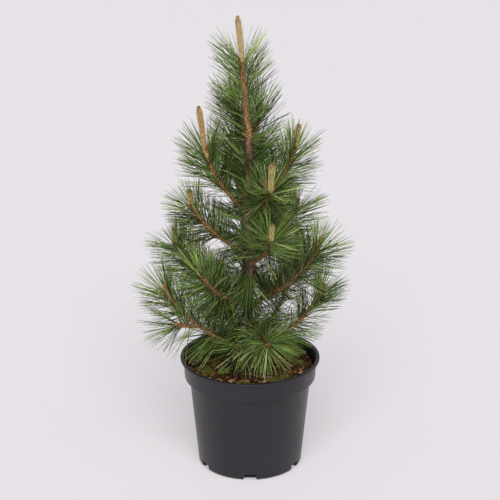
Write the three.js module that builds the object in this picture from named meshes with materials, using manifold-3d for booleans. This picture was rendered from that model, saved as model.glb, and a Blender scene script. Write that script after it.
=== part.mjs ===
// Young Bosnian pine in a round nursery pot. Millimetres, +Z up.
// The origin is the middle of the pot's flat underside, and -Y is the front.
import * as THREE from 'three';
import { mergeVertices } from 'three/addons/utils/BufferGeometryUtils.js';
import Module from 'manifold-3d';

const wasm = await Module();
wasm.setup();

// Clearance kept between neighbouring solids
const GAP = 0.3;

// Pot: a tapered wall under a wider band, with a flanged lip and slots in the foot's corner
const POT_HEIGHT = 155;
const POT_RIM_RADIUS = 95;
const POT_BAND_TOP_RADIUS = 90;
const POT_BAND_FOOT_RADIUS = 88.2;
const POT_BAND_FOOT_HEIGHT = 127.4;
const POT_NECK_RADIUS = 82.8;
const POT_FOOT_RADIUS = 70.6;
const POT_FOOT_CHAMFER = 3;
const POT_BAND_STEP = 2.5;
const POT_LIP_THICKNESS = 3;
const POT_LIP_ROUND = 0.8;
const POT_WALL = 1.8;
const POT_FLOOR = 2.6;
const POT_SIDES = 40;
const DRAIN_SLOTS = 6;
const DRAIN_SLOT_WIDTH = 17;
const DRAIN_SLOT_HEIGHT = 9;
const DRAIN_SLOT_INNER_RADIUS = 61;

// Soil: fills the pot to a little below its rim, level round the trunk and rough towards the wall
const SOIL_HEIGHT = 142;
const SOIL_CLEARANCE = 0.6;
const SOIL_EDGE_DROP = 3;
const SOIL_LEVEL_RADIUS = 18;
const SOIL_ROUGH_FROM = 30;
const SOIL_ROUGHNESS = 2.2;
const SOIL_WAVE = 55;
const SOIL_RIPPLE = 21;
const SOIL_RINGS = 3;

// Trunk: the heights and sideways drift that its axis passes through, and its radius at each height
const TRUNK_FOOT = SOIL_HEIGHT + GAP;
const TRUNK_TIP = 635;
const CANDLE_FOOT = 584;
const TRUNK_DRIFT = [
  { height: TRUNK_FOOT, x: 3 },
  { height: 163, x: 3 },
  { height: 228, x: -3 },
  { height: 293, x: 1 },
  { height: 365, x: -3 },
  { height: 461, x: -1 },
  { height: 526, x: -7 },
  { height: CANDLE_FOOT, x: -11 },
  { height: TRUNK_TIP, x: -15 },
];
const TRUNK_FLARE_RADIUS = 13;
const TRUNK_FOOT_RADIUS = 8.2;
const TRUNK_SHOULDER_RADIUS = 3.8;
const TRUNK_FLARE_HEIGHT = 9;
const TRUNK_FLARE_ROWS = [0, 3, 9];
const TRUNK_LEADER_ROWS = [0.3, 0.6, 0.85];
const TRUNK_SIDES = 8;
const NODE_SWELLING = 0.9;
const NODE_HALF_HEIGHT = 9;

// Whorls: the heights on the trunk where the boughs leave it
const WHORL_HEIGHTS = { low: 163, second: 228, middle: 293, upper: 365, top: 461 };
const BOUGH_GIRTH = { low: 1, second: 0.94, middle: 0.86, upper: 0.8, top: 0.7 };

// Boughs: azimuth in degrees from +X towards +Y, reach outwards, rise to the shoot's tip,
// step above the whorl, and the length and pitch of the candle that ends the shoot
const BOUGHS = [
  { whorl: 'low', side: 'left', azimuth: 198, reach: 121, rise: 101, step: 0, candle: 14 },
  { whorl: 'low', side: 'front_left', azimuth: 246, reach: 62, rise: 22, step: 11, candle: 8 },
  { whorl: 'low', side: 'right', azimuth: 350, reach: 98, rise: 100, step: 0, candle: 12 },
  { whorl: 'low', side: 'back_right', azimuth: 52, reach: 100, rise: 84, step: 8, candle: 16 },
  { whorl: 'low', side: 'back_left', azimuth: 126, reach: 104, rise: 78, step: 2, candle: 18 },
  { whorl: 'second', side: 'left', azimuth: 154, reach: 108, rise: 70, step: 0, candle: 26 },
  { whorl: 'second', side: 'front_left', azimuth: 217, reach: 76, rise: 62, step: 6, candle: 18 },
  { whorl: 'second', side: 'front', azimuth: 284, reach: 96, rise: -12, step: -4, candle: 7, pitch: 24 },
  { whorl: 'second', side: 'right', azimuth: 345, reach: 98, rise: 90, step: 4, candle: 24 },
  { whorl: 'second', side: 'back_right', azimuth: 40, reach: 92, rise: 72, step: -5, candle: 22 },
  { whorl: 'second', side: 'back', azimuth: 95, reach: 88, rise: 84, step: 8, candle: 26 },
  { whorl: 'middle', side: 'left', azimuth: 174, reach: 79, rise: 76, step: 0, candle: 25 },
  { whorl: 'middle', side: 'front', azimuth: 291, reach: 75, rise: 54, step: 0, candle: 28 },
  { whorl: 'middle', side: 'right', azimuth: 18, reach: 66, rise: 72, step: 5, candle: 16 },
  { whorl: 'middle', side: 'back_right', azimuth: 68, reach: 76, rise: 66, step: -6, candle: 24 },
  { whorl: 'middle', side: 'back_left', azimuth: 122, reach: 78, rise: 76, step: 8, candle: 30 },
  { whorl: 'upper', side: 'left', azimuth: 194, reach: 56, rise: 92, step: 0, candle: 62 },
  { whorl: 'upper', side: 'front', azimuth: 296, reach: 67, rise: 45, step: 2, candle: 47 },
  { whorl: 'upper', side: 'right', azimuth: 4, reach: 63, rise: 88, step: 0, candle: 34 },
  { whorl: 'upper', side: 'back_right', azimuth: 58, reach: 52, rise: 74, step: 8, candle: 36 },
  { whorl: 'upper', side: 'back_left', azimuth: 128, reach: 54, rise: 80, step: 5, candle: 44 },
  { whorl: 'top', side: 'back_right', azimuth: 58, reach: 27, rise: 40, step: 0, candle: 20 },
  { whorl: 'top', side: 'back_left', azimuth: 142, reach: 28, rise: 44, step: 4, candle: 24 },
];

// Side twigs: where each leaves its shoot, as a share of the shoot's length, and its own course
const SIDE_TWIGS = [{ bough: 'low_left', share: 0.56, azimuth: 216, reach: 38, rise: 12 }];

// Limbs and shoots
const BOUGH_BEND = 18;
const BOUGH_EASE = 0.36;
const BOUGH_FOOT_RADIUS = 4.4;
const BOUGH_NECK_RADIUS = 3.8;
const BOUGH_ROWS = 2;
const BOUGH_BARE_SHARE = 0.26;
const BOUGH_SIDES = 6;
const SHOOT_FOOT_RADIUS = 3.7;
const SHOOT_TIP_RADIUS = 2.9;
const SHOOT_SIDES = 5;
const STEM_ROWS = 4;
const TWIG_RADIUS = 2.7;
const TWIG_SAG = 0.08;
const TWIG_BARE_SHARE = 0.3;

// Candles: slim at the foot, full from there to the shoulder, then a blunt tip
const CANDLE_PITCH = 82;
const CANDLE_RADIUS = 3.9;
const LEADER_CANDLE_RADIUS = 4.3;
const CANDLE_FOOT_GIRTH = 0.82;
const CANDLE_FULL_FROM = 0.6;
const CANDLE_SHOULDER = 0.82;
const CANDLE_SUNK = 2;
const CANDLE_ROWS = [0, 0.5, 0.84, 0.95];
const LEADER_CANDLE_ROWS = [0, 0.25, 0.6, 0.82, 0.93, 0.985];
const CANDLE_SIDES = 6;

// Needles: toothed sprays set round each shoot by the golden angle
const GOLDEN_ANGLE = 137.508;
const NEEDLE_LENGTH = 57;
const SPRAY_TURNS = [-32, -16, 0, 16, 32];
const SPRAY_HALF_WIDTH = 1.6;
const SPRAY_HALF_THICKNESS = 0.95;
const SPRAY_RIDGE = 9;
const SPRAY_NOTCH_SHARE = 0.45;
const SPRAY_SPACING = 9.4;
const SPRAY_INSET = 0.04;
const SPRAY_LEAN_FOOT = 62;
const SPRAY_LEAN_TIP = 34;
const SPRAY_LEAN_JITTER = 9;
const SPRAY_TURN_JITTER = 20;
const SPRAY_ROLLS = [75, 20, 100, -15, 60];
const SPRAY_FEWEST_NEEDLES = 3;
const NEEDLE_LENGTH_JITTER = 0.06;
const NEEDLE_SHORTEST = 0.3;
const NEEDLE_SHORTENING = 0.88;
const NEEDLE_PROBES = [0.2, 0.3, 0.4, 0.5, 0.6, 0.7, 0.8, 0.9, 1];
const MASS_CLEARANCE = 0.5;
const LIMB_CLEARANCE = 1.2;
const POT_CLEARANCE = 4;
const SOIL_NEEDLE_CLEARANCE = 2;
const LEADER_FOLIAGE_FOOT = 477;
const LEADER_SPRAY_CROWDING = 1.75;
const LEADER_CORE_WALL = 1.3;
const LEADER_CORE_ROWS = [0, 0.33, 0.66, 1];
const SPACE_STEPS = 8;
const RANDOM_SEED = 20;

const MATERIALS = {
  pot: new THREE.MeshStandardMaterial({ color: 0x3c3b40, roughness: 0.42, metalness: 0 }),
  soil: new THREE.MeshStandardMaterial({ color: 0x33241a, roughness: 0.95, metalness: 0 }),
  bark: new THREE.MeshStandardMaterial({ color: 0x7a5138, roughness: 0.85, metalness: 0 }),
  needles: new THREE.MeshStandardMaterial({ color: 0x3f6a35, roughness: 0.5, metalness: 0 }),
};

const UP = new THREE.Vector3(0, 0, 1);
const FRONT = new THREE.Vector3(0, -1, 0);
const radians = THREE.MathUtils.degToRad;
const mix = THREE.MathUtils.lerp;

// Seeded random numbers from 0 to 1
function randomStream(seed) {
  let state = seed;
  return () => {
    state = (state * 1664525 + 1013904223) % 4294967296;
    return state / 4294967296;
  };
}

// Turns a closed geometry into a solid that can be joined and cut
function solidOf(geometry) {
  const bare = geometry.clone();
  bare.deleteAttribute('normal');
  bare.deleteAttribute('uv');
  const merged = mergeVertices(bare, 1e-4);
  return new wasm.Manifold(
    new wasm.Mesh({
      numProp: 3,
      vertProperties: new Float32Array(merged.attributes.position.array),
      triVerts: new Uint32Array(merged.index.array),
    }),
  );
}

// Turns a solid back into a geometry
function geometryOf(solid) {
  const mesh = solid.getMesh();
  const geometry = new THREE.BufferGeometry();
  geometry.setAttribute('position', new THREE.BufferAttribute(new Float32Array(mesh.vertProperties), 3));
  geometry.setIndex(new THREE.BufferAttribute(new Uint32Array(mesh.triVerts), 1));
  geometry.computeVertexNormals();
  return geometry;
}

// A named mesh made from a solid, which keeps only its largest piece
function piece(name, solid, material) {
  const pieces = solid.decompose();
  pieces.sort((a, b) => b.volume() - a.volume());
  const mesh = new THREE.Mesh(geometryOf(pieces[0]), material);
  mesh.name = name;
  return mesh;
}

// A unit vector at an azimuth and a pitch above the horizontal, both in degrees
function heading(azimuth, pitch) {
  const flat = Math.cos(radians(pitch));
  return new THREE.Vector3(
    flat * Math.cos(radians(azimuth)),
    flat * Math.sin(radians(azimuth)),
    Math.sin(radians(pitch)),
  );
}

// A solid of revolution about Z from [radius, height] pairs that start and end on the axis
function turned(profile, sides) {
  const points = profile.map(([radius, height]) => new THREE.Vector2(radius, height));
  return new THREE.LatheGeometry(points, sides).rotateX(Math.PI / 2);
}

// Bends a solid of revolution onto a curve: a profile height becomes a distance along the curve
function bentAlong(curve, profile, sides, side) {
  const geometry = turned(profile, sides);
  const length = curve.getLength();
  const position = geometry.attributes.position;
  const tangent = new THREE.Vector3();
  const point = new THREE.Vector3();
  for (let i = 0; i < position.count; i++) {
    const share = THREE.MathUtils.clamp(position.getZ(i) / length, 0, 1);
    curve.getTangentAt(share, tangent);
    curve.getPointAt(share, point);
    const over = new THREE.Vector3().crossVectors(tangent, side);
    point.addScaledVector(side, position.getX(i)).addScaledVector(over, position.getY(i));
    position.setXYZ(i, point.x, point.y, point.z);
  }
  return geometry;
}

// The trunk's axis, its radius at a height, and the point on it at a height
const trunkAxis = new THREE.CatmullRomCurve3(
  TRUNK_DRIFT.map(({ height, x }) => new THREE.Vector3(x, 0, height)),
  false,
  'centripetal',
);

function trunkRadius(height) {
  const candleShare = (height - CANDLE_FOOT) / (TRUNK_TIP - CANDLE_FOOT);
  if (candleShare > 0) return candleRadius(candleShare, LEADER_CANDLE_RADIUS);
  const share = (height - TRUNK_FOOT) / (CANDLE_FOOT - TRUNK_FOOT);
  const taper = mix(TRUNK_FOOT_RADIUS, TRUNK_SHOULDER_RADIUS, share);
  const fade = Math.exp(-(height - TRUNK_FOOT) / TRUNK_FLARE_HEIGHT);
  const flare = (TRUNK_FLARE_RADIUS - TRUNK_FOOT_RADIUS) * fade;
  const swelling = Object.values(WHORL_HEIGHTS)
    .map((whorl) => NODE_SWELLING * Math.exp(-(((height - whorl) / NODE_HALF_HEIGHT) ** 2)))
    .reduce((sum, value) => sum + value);
  return taper + flare + swelling;
}

function trunkPoint(height) {
  const share = (height - TRUNK_FOOT) / (TRUNK_TIP - TRUNK_FOOT);
  return trunkAxis.getPointAt(share);
}

// A candle's radius at a share of its length
function candleRadius(share, full) {
  const body = full * mix(CANDLE_FOOT_GIRTH, 1, Math.min(1, share / CANDLE_FULL_FROM));
  const beyond = Math.max(0, (share - CANDLE_SHOULDER) / (1 - CANDLE_SHOULDER));
  return body * Math.sqrt(Math.max(0, 1 - beyond ** 2));
}

// The radius of the pot's outside below its band
function potRadius(height) {
  const share = (height - POT_FOOT_CHAMFER) / (POT_BAND_FOOT_HEIGHT - POT_FOOT_CHAMFER);
  return mix(POT_FOOT_RADIUS, POT_NECK_RADIUS, share);
}

function makePot() {
  const lipFoot = POT_HEIGHT - POT_LIP_THICKNESS;
  const profile = [
    [0, 0],
    [POT_FOOT_RADIUS - POT_FOOT_CHAMFER, 0],
    [POT_FOOT_RADIUS, POT_FOOT_CHAMFER],
    [POT_NECK_RADIUS, POT_BAND_FOOT_HEIGHT],
    [POT_BAND_FOOT_RADIUS, POT_BAND_FOOT_HEIGHT + POT_BAND_STEP],
    [POT_BAND_TOP_RADIUS, lipFoot - POT_LIP_ROUND],
    [POT_RIM_RADIUS - POT_LIP_ROUND, lipFoot],
    [POT_RIM_RADIUS, lipFoot + POT_LIP_ROUND],
    [POT_RIM_RADIUS - POT_LIP_ROUND, POT_HEIGHT],
    [POT_BAND_TOP_RADIUS, POT_HEIGHT],
    [POT_BAND_TOP_RADIUS - POT_WALL, lipFoot],
    [POT_BAND_FOOT_RADIUS - POT_WALL, POT_BAND_FOOT_HEIGHT + POT_BAND_STEP + POT_WALL],
    [POT_NECK_RADIUS - POT_WALL, POT_BAND_FOOT_HEIGHT + POT_WALL],
    [POT_FOOT_RADIUS - POT_WALL, POT_FLOOR],
    [0, POT_FLOOR],
  ];
  let pot = solidOf(turned(profile, POT_SIDES));
  const slotDepth = POT_NECK_RADIUS - DRAIN_SLOT_INNER_RADIUS;
  for (let k = 0; k < DRAIN_SLOTS; k++) {
    const slot = new THREE.BoxGeometry(slotDepth, DRAIN_SLOT_WIDTH, 2 * DRAIN_SLOT_HEIGHT);
    slot.translate(DRAIN_SLOT_INNER_RADIUS + slotDepth / 2, 0, 0);
    slot.rotateZ(-Math.PI / 2 + (k * 2 * Math.PI) / DRAIN_SLOTS);
    pot = pot.subtract(solidOf(slot));
  }
  return piece('pot', pot, MATERIALS.pot);
}

// The soil's height at a place: waves and ripples that die away towards the trunk
function soilHeight(x, y) {
  const fade = THREE.MathUtils.clamp((Math.hypot(x, y) - SOIL_LEVEL_RADIUS) / SOIL_ROUGH_FROM, 0, 1);
  const wave = Math.sin(x * (6 / SOIL_WAVE) + 1) * Math.cos(y * (7 / SOIL_WAVE));
  const ripple = Math.sin(x * (6.5 / SOIL_RIPPLE)) * Math.sin(y * (5.5 / SOIL_RIPPLE) + 2);
  return SOIL_HEIGHT + SOIL_ROUGHNESS * fade * (wave + ripple / 2 - 1 / 3);
}

function makeSoil() {
  const inset = POT_WALL + SOIL_CLEARANCE;
  const edge = POT_BAND_FOOT_RADIUS - inset;
  const profile = [
    [0, POT_FLOOR + GAP],
    [potRadius(POT_FLOOR) - inset, POT_FLOOR + GAP],
    [POT_NECK_RADIUS - inset, POT_BAND_FOOT_HEIGHT + POT_WALL],
    [edge, POT_BAND_FOOT_HEIGHT + POT_BAND_STEP + 2 * POT_WALL],
    [edge, SOIL_HEIGHT - SOIL_EDGE_DROP],
  ];
  for (let k = 1; k <= SOIL_RINGS; k++) {
    profile.push([mix(edge, SOIL_LEVEL_RADIUS, k / SOIL_RINGS), SOIL_HEIGHT]);
  }
  profile.push([0, SOIL_HEIGHT]);
  const geometry = turned(profile, POT_SIDES);
  const position = geometry.attributes.position;
  for (let i = 0; i < position.count; i++) {
    const onTop = position.getZ(i) > SOIL_HEIGHT - SOIL_EDGE_DROP / 2;
    if (onTop) position.setZ(i, soilHeight(position.getX(i), position.getY(i)));
  }
  return piece('soil', solidOf(geometry), MATERIALS.soil);
}

// The heights of the trunk's rings: close together where its outline turns
function trunkRows() {
  const whorls = Object.values(WHORL_HEIGHTS);
  const rows = TRUNK_FLARE_ROWS.map((rise) => TRUNK_FOOT + rise);
  whorls.forEach((whorl, k) => {
    rows.push(whorl - NODE_HALF_HEIGHT, whorl, whorl + NODE_HALF_HEIGHT);
    if (k > 0) rows.push((whorl + whorls[k - 1]) / 2);
  });
  const topWhorl = whorls[whorls.length - 1];
  rows.push(...TRUNK_LEADER_ROWS.map((share) => mix(topWhorl, CANDLE_FOOT, share)));
  rows.push(...LEADER_CANDLE_ROWS.map((share) => mix(CANDLE_FOOT, TRUNK_TIP, share)));
  return rows.sort((a, b) => a - b);
}

// The trunk's solid, grown outwards by an extra radius when it is used as a cutter
function trunkSolid(extra) {
  const length = trunkAxis.getLength();
  const along = (height) => ((height - TRUNK_FOOT) / (TRUNK_TIP - TRUNK_FOOT)) * length;
  const profile = [[0, 0]];
  for (const height of trunkRows()) profile.push([trunkRadius(height) + extra, along(height)]);
  profile.push([0, length]);
  return solidOf(bentAlong(trunkAxis, profile, TRUNK_SIDES, FRONT));
}

// The centre line of a bough with its shoot, from the trunk's axis to the foot of its candle
function boughCurve(bough) {
  const foot = trunkPoint(WHORL_HEIGHTS[bough.whorl] + bough.step);
  const tip = foot.clone().addScaledVector(heading(bough.azimuth, 0), bough.reach);
  tip.z += bough.rise;
  const chord = tip.distanceTo(foot);
  const pitch = THREE.MathUtils.radToDeg(Math.atan2(bough.rise, bough.reach));
  const leave = heading(bough.azimuth, pitch - BOUGH_BEND);
  const arrive = heading(bough.azimuth, Math.min(CANDLE_PITCH, pitch + BOUGH_BEND));
  return new THREE.CubicBezierCurve3(
    foot,
    foot.clone().addScaledVector(leave, BOUGH_EASE * chord),
    tip.clone().addScaledVector(arrive, -BOUGH_EASE * chord),
    tip,
  );
}

// A side twig's centre line, which leaves its shoot at a share of the shoot's length
function twigCurve(twig, shoot) {
  const foot = shoot.getPointAt(twig.share);
  const tip = foot.clone().addScaledVector(heading(twig.azimuth, 0), twig.reach);
  tip.z += twig.rise;
  const middle = foot.clone().lerp(tip, 0.5);
  middle.z -= TWIG_SAG * twig.reach;
  return new THREE.QuadraticBezierCurve3(foot, middle, tip);
}

// The distance from a point to a chain of points
function distanceTo(chain, point) {
  const line = new THREE.Line3();
  const nearest = new THREE.Vector3();
  let least = Infinity;
  for (let i = 1; i < chain.length; i++) {
    line.set(chain[i - 1], chain[i]);
    line.closestPointToPoint(point, true, nearest);
    least = Math.min(least, nearest.distanceTo(point));
  }
  return least;
}

// A spray of needles: a thin toothed blade, thickest along a ridge near its root, with a tooth a needle
function spraySolid(root, along, across, lengths) {
  const flat = new THREE.Vector3().crossVectors(along, across).normalize();
  const outline = [[0, -SPRAY_HALF_WIDTH]];
  SPRAY_TURNS.forEach((turn, k) => {
    const angle = radians(turn);
    outline.push([lengths[k] * Math.cos(angle), lengths[k] * Math.sin(angle)]);
    if (k + 1 === SPRAY_TURNS.length) return;
    const between = radians((turn + SPRAY_TURNS[k + 1]) / 2);
    const notch = SPRAY_NOTCH_SHARE * Math.min(lengths[k], lengths[k + 1]);
    outline.push([notch * Math.cos(between), notch * Math.sin(between)]);
  });
  outline.push([0, SPRAY_HALF_WIDTH]);
  const place = (u, v, w) =>
    root.clone().addScaledVector(along, u).addScaledVector(across, v).addScaledVector(flat, w);
  const points = outline.map(([u, v]) => place(u, v, 0));
  const ridge = Math.min(SPRAY_RIDGE, SPRAY_NOTCH_SHARE * Math.min(...lengths));
  points.push(place(ridge, 0, SPRAY_HALF_THICKNESS), place(ridge, 0, -SPRAY_HALF_THICKNESS));
  const [top, bottom] = [outline.length, outline.length + 1];
  const faces = [];
  for (let i = 0; i < outline.length; i++) {
    const next = (i + 1) % outline.length;
    faces.push(i, next, top, next, i, bottom);
  }
  const geometry = new THREE.BufferGeometry().setFromPoints(points);
  geometry.setIndex(faces);
  return solidOf(geometry);
}

// The longest that a needle can be in its mass's own space, or nothing where that is too short
function needleLength(mass, root, needle, full) {
  let length = full;
  while (length > NEEDLE_SHORTEST * full) {
    const reach = length;
    const probes = NEEDLE_PROBES.map((share) => root.clone().addScaledVector(needle, reach * share));
    if (keepsToItsSpace(mass, probes)) return length;
    length *= NEEDLE_SHORTENING;
  }
  return 0;
}

// Every shoot with its own space: the points nearer its centre lines than any other shoot's
const shoots = BOUGHS.map((bough) => {
  const name = bough.whorl + '_' + bough.side;
  const curve = boughCurve(bough);
  const tip = curve.getPointAt(1);
  const rising = heading(bough.azimuth, bough.pitch ?? CANDLE_PITCH);
  const candleTip = tip.clone().addScaledVector(rising, bough.candle);
  const side = heading(bough.azimuth + 90, 0);
  const twigs = SIDE_TWIGS.filter((twig) => twig.bough === name).map((twig) => twigCurve(twig, curve));
  const shootLine = [];
  const limbLine = [];
  for (let k = 0; k <= SPACE_STEPS; k++) {
    shootLine.push(curve.getPointAt(mix(BOUGH_BARE_SHARE, 1, k / SPACE_STEPS)));
    limbLine.push(curve.getPointAt((BOUGH_BARE_SHARE * k) / SPACE_STEPS));
  }
  shootLine.push(candleTip);
  const lines = [shootLine, ...twigs.map((twig) => twig.getPoints(SPACE_STEPS))];
  return { name, bough, curve, candleTip, side, twigs, lines, limbLine };
});

const trunkLine = trunkAxis.getSpacedPoints(4 * SPACE_STEPS);
const leader = { lines: [trunkLine.filter((point) => point.z > WHORL_HEIGHTS.top + NODE_HALF_HEIGHT)] };
const masses = [...shoots, leader];

// Whether every probe lies in the mass's own space, clear of limbs, trunk, soil and pot
function keepsToItsSpace(mass, probes) {
  const ownDistance = (probe) => Math.min(...mass.lines.map((line) => distanceTo(line, probe)));
  return probes.every((probe) => {
    const nearWall = Math.hypot(probe.x, probe.y) > POT_BAND_FOOT_RADIUS - POT_CLEARANCE;
    const nearSoil = probe.z < SOIL_HEIGHT + SOIL_ROUGHNESS + SOIL_NEEDLE_CLEARANCE;
    if (nearSoil || (nearWall && probe.z < POT_HEIGHT + POT_CLEARANCE)) return false;
    if (distanceTo(trunkLine, probe) < trunkRadius(probe.z) + LIMB_CLEARANCE) return false;
    const own = ownDistance(probe);
    const nearLimb = ({ limbLine }) => distanceTo(limbLine, probe) < BOUGH_FOOT_RADIUS + LIMB_CLEARANCE;
    if (shoots.some(nearLimb)) return false;
    const others = masses.filter((other) => other !== mass);
    return others.every(({ lines }) => lines.every((line) => distanceTo(line, probe) > own + MASS_CLEARANCE));
  });
}

// The sprays on a stretch of stem, by the golden angle, leaning forward more towards its tip
function spraysAlong(mass, stem, stretch, side, crowding, random) {
  const sprays = [];
  const count = Math.round((stem.getLength() * (stretch[1] - stretch[0]) * crowding) / SPRAY_SPACING);
  for (let k = 0; k < count; k++) {
    const share = (k + 0.5) / count;
    const root = stem.getPointAt(mix(...stretch, share));
    const tangent = stem.getTangentAt(mix(...stretch, share));
    const over = new THREE.Vector3().crossVectors(tangent, side);
    const turn = radians(k * GOLDEN_ANGLE + SPRAY_TURN_JITTER * random());
    const outwards = side.clone().multiplyScalar(Math.cos(turn)).addScaledVector(over, Math.sin(turn));
    const leanJitter = SPRAY_LEAN_JITTER * (2 * random() - 1);
    const lean = radians(mix(SPRAY_LEAN_FOOT, SPRAY_LEAN_TIP, share) + leanJitter);
    const along = tangent.clone().multiplyScalar(Math.cos(lean)).addScaledVector(outwards, Math.sin(lean));
    const roll = radians(SPRAY_ROLLS[k % SPRAY_ROLLS.length]);
    const across = new THREE.Vector3().crossVectors(tangent, outwards).applyAxisAngle(along, roll);
    across.addScaledVector(along, -across.dot(along)).normalize();
    const full = NEEDLE_LENGTH * (1 + NEEDLE_LENGTH_JITTER * (2 * random() - 1));
    const lengths = SPRAY_TURNS.map((degrees) => {
      const angle = radians(degrees);
      const needle = along.clone().multiplyScalar(Math.cos(angle)).addScaledVector(across, Math.sin(angle));
      return needleLength(mass, root, needle, full);
    });
    const kept = lengths.filter((value) => value > 0);
    if (kept.length < SPRAY_FEWEST_NEEDLES) continue;
    const stub = NEEDLE_SHORTEST * full;
    sprays.push(spraySolid(root, along, across, lengths.map((value) => value || stub)));
  }
  return sprays;
}

// A bough: one bare tapering limb, cut clear of the trunk that it grows from
function makeBough(shoot, trunkCutter) {
  const end = shoot.curve.getLength() * BOUGH_BARE_SHARE - GAP;
  const profile = [[0, 0]];
  for (let k = 0; k <= BOUGH_ROWS; k++) {
    const share = k / BOUGH_ROWS;
    const radius = BOUGH_GIRTH[shoot.bough.whorl] * mix(BOUGH_FOOT_RADIUS, BOUGH_NECK_RADIUS, share);
    profile.push([radius, end * share]);
  }
  profile.push([0, end]);
  const limb = solidOf(bentAlong(shoot.curve, profile, BOUGH_SIDES, shoot.side));
  return piece('bough_' + shoot.name, limb.subtract(trunkCutter), MATERIALS.bark);
}

// A shoot's candle, sunk a little into the shoot's tip
function candleSolid(shoot) {
  const tip = shoot.curve.getPointAt(1);
  const foot = tip.clone().lerp(shoot.candleTip, -CANDLE_SUNK / shoot.bough.candle);
  const axis = new THREE.LineCurve3(foot, shoot.candleTip);
  const length = axis.getLength();
  const profile = [[0, 0]];
  for (const share of CANDLE_ROWS) profile.push([candleRadius(share, CANDLE_RADIUS), share * length]);
  profile.push([0, length]);
  return solidOf(bentAlong(axis, profile, CANDLE_SIDES, shoot.side));
}

// A stem that tapers along a curve from a share of its length to its end
function stemSolid(curve, start, footRadius, tipRadius, side) {
  const length = curve.getLength();
  const profile = [[0, start * length]];
  for (let k = 0; k <= STEM_ROWS; k++) {
    const share = k / STEM_ROWS;
    profile.push([mix(footRadius, tipRadius, share), length * mix(start, 1, share)]);
  }
  profile.push([0, length]);
  return solidOf(bentAlong(curve, profile, SHOOT_SIDES, side));
}

// The foliage at the end of a bough: its stem, candle and side twigs with the sprays fused on
function makeFoliage(shoot, random) {
  const { curve, side } = shoot;
  const stem = stemSolid(curve, BOUGH_BARE_SHARE, SHOOT_FOOT_RADIUS, SHOOT_TIP_RADIUS, side);
  let solid = stem.add(candleSolid(shoot));
  const sprays = spraysAlong(shoot, curve, [BOUGH_BARE_SHARE + SPRAY_INSET, 1], side, 1, random);
  for (const twig of shoot.twigs) {
    const twigSide = new THREE.Vector3().crossVectors(UP, twig.getTangentAt(0.5)).normalize();
    solid = solid.add(stemSolid(twig, 0, TWIG_RADIUS, TWIG_RADIUS, twigSide));
    sprays.push(...spraysAlong(shoot, twig, [TWIG_BARE_SHARE, 1], twigSide, 1, random));
  }
  for (const spray of sprays) solid = solid.add(spray);
  return piece('foliage_' + shoot.name, solid, MATERIALS.needles);
}

// The leader's foliage: a sleeve round the trunk, cut clear of it, with the sprays fused on
function makeLeaderFoliage(trunkCutter, random) {
  const radius = trunkRadius(LEADER_FOLIAGE_FOOT) + GAP + LEADER_CORE_WALL;
  const axis = new THREE.CatmullRomCurve3(
    LEADER_CORE_ROWS.map((share) => trunkPoint(mix(LEADER_FOLIAGE_FOOT, CANDLE_FOOT, share))),
  );
  const length = axis.getLength();
  const profile = [[0, 0], ...LEADER_CORE_ROWS.map((share) => [radius, share * length]), [0, length]];
  let solid = solidOf(bentAlong(axis, profile, TRUNK_SIDES, FRONT));
  const stretch = [SPRAY_INSET, 1 - SPRAY_INSET];
  const sprays = spraysAlong(leader, axis, stretch, FRONT, LEADER_SPRAY_CROWDING, random);
  for (const spray of sprays) solid = solid.add(spray);
  return piece('foliage_leader', solid.subtract(trunkCutter), MATERIALS.needles);
}

const pine = new THREE.Group();
const trunkCutter = trunkSolid(GAP);
pine.add(makePot(), makeSoil(), piece('trunk', trunkSolid(0), MATERIALS.bark));
shoots.forEach((shoot, k) => {
  pine.add(makeBough(shoot, trunkCutter), makeFoliage(shoot, randomStream(RANDOM_SEED + k)));
});
pine.add(makeLeaderFoliage(trunkCutter, randomStream(RANDOM_SEED + shoots.length)));

export default pine;
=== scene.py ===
"""Young Bosnian pine in its nursery pot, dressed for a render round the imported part.

Run as a script in Blender 4.5. Everything is in metres, +Z up, with the origin in the middle of
the pot's underside and -Y towards the viewer.
"""
import math
from typing import NamedTuple

import bpy
import numpy as np
from bpy.props import FloatProperty, FloatVectorProperty, IntProperty, PointerProperty
from mathutils import Matrix, Vector


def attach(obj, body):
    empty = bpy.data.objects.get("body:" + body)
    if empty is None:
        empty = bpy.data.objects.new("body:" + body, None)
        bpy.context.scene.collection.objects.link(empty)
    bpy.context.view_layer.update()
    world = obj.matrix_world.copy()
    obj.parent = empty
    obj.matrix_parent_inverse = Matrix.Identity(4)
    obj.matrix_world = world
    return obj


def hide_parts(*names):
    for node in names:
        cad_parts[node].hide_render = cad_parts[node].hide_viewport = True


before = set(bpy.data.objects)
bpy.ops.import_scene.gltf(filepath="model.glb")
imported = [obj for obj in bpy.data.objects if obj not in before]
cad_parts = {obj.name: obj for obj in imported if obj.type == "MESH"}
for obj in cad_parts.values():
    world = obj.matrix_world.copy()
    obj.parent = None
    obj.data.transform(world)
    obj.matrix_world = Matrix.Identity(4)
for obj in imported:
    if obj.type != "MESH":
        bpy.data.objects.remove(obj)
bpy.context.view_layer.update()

bl_info = {
    "name": "Potted Bosnian pine",
    "version": (1, 0, 0),
    "blender": (4, 5, 0),
    "location": "3D View > Sidebar > Pine",
    "description": "Grows a young pine with paired needles and candles in a nursery pot",
    "category": "Add Mesh",
}

MM = 0.001
BODY = "root"

# Heights on the plant, in millimetres
SOIL_TOP = 142
TRUNK_FOOT = 142.3
TRUNK_TIP = 635
CANDLE_FOOT = 569
SHOULDER_HEIGHT = 584
LEADER_NEEDLES_FOOT = 474
LEADER_NEEDLES_TOP = CANDLE_FOOT + 10
OLD_BARK_TOP = 468
# Where the trunk slims to the leader, and its girth below and above, against the part's
SLIM_FROM = 440
SLIM_BY = 480
TRUNK_GIRTH = 0.86
LEADER_GIRTH = 0.7
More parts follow.
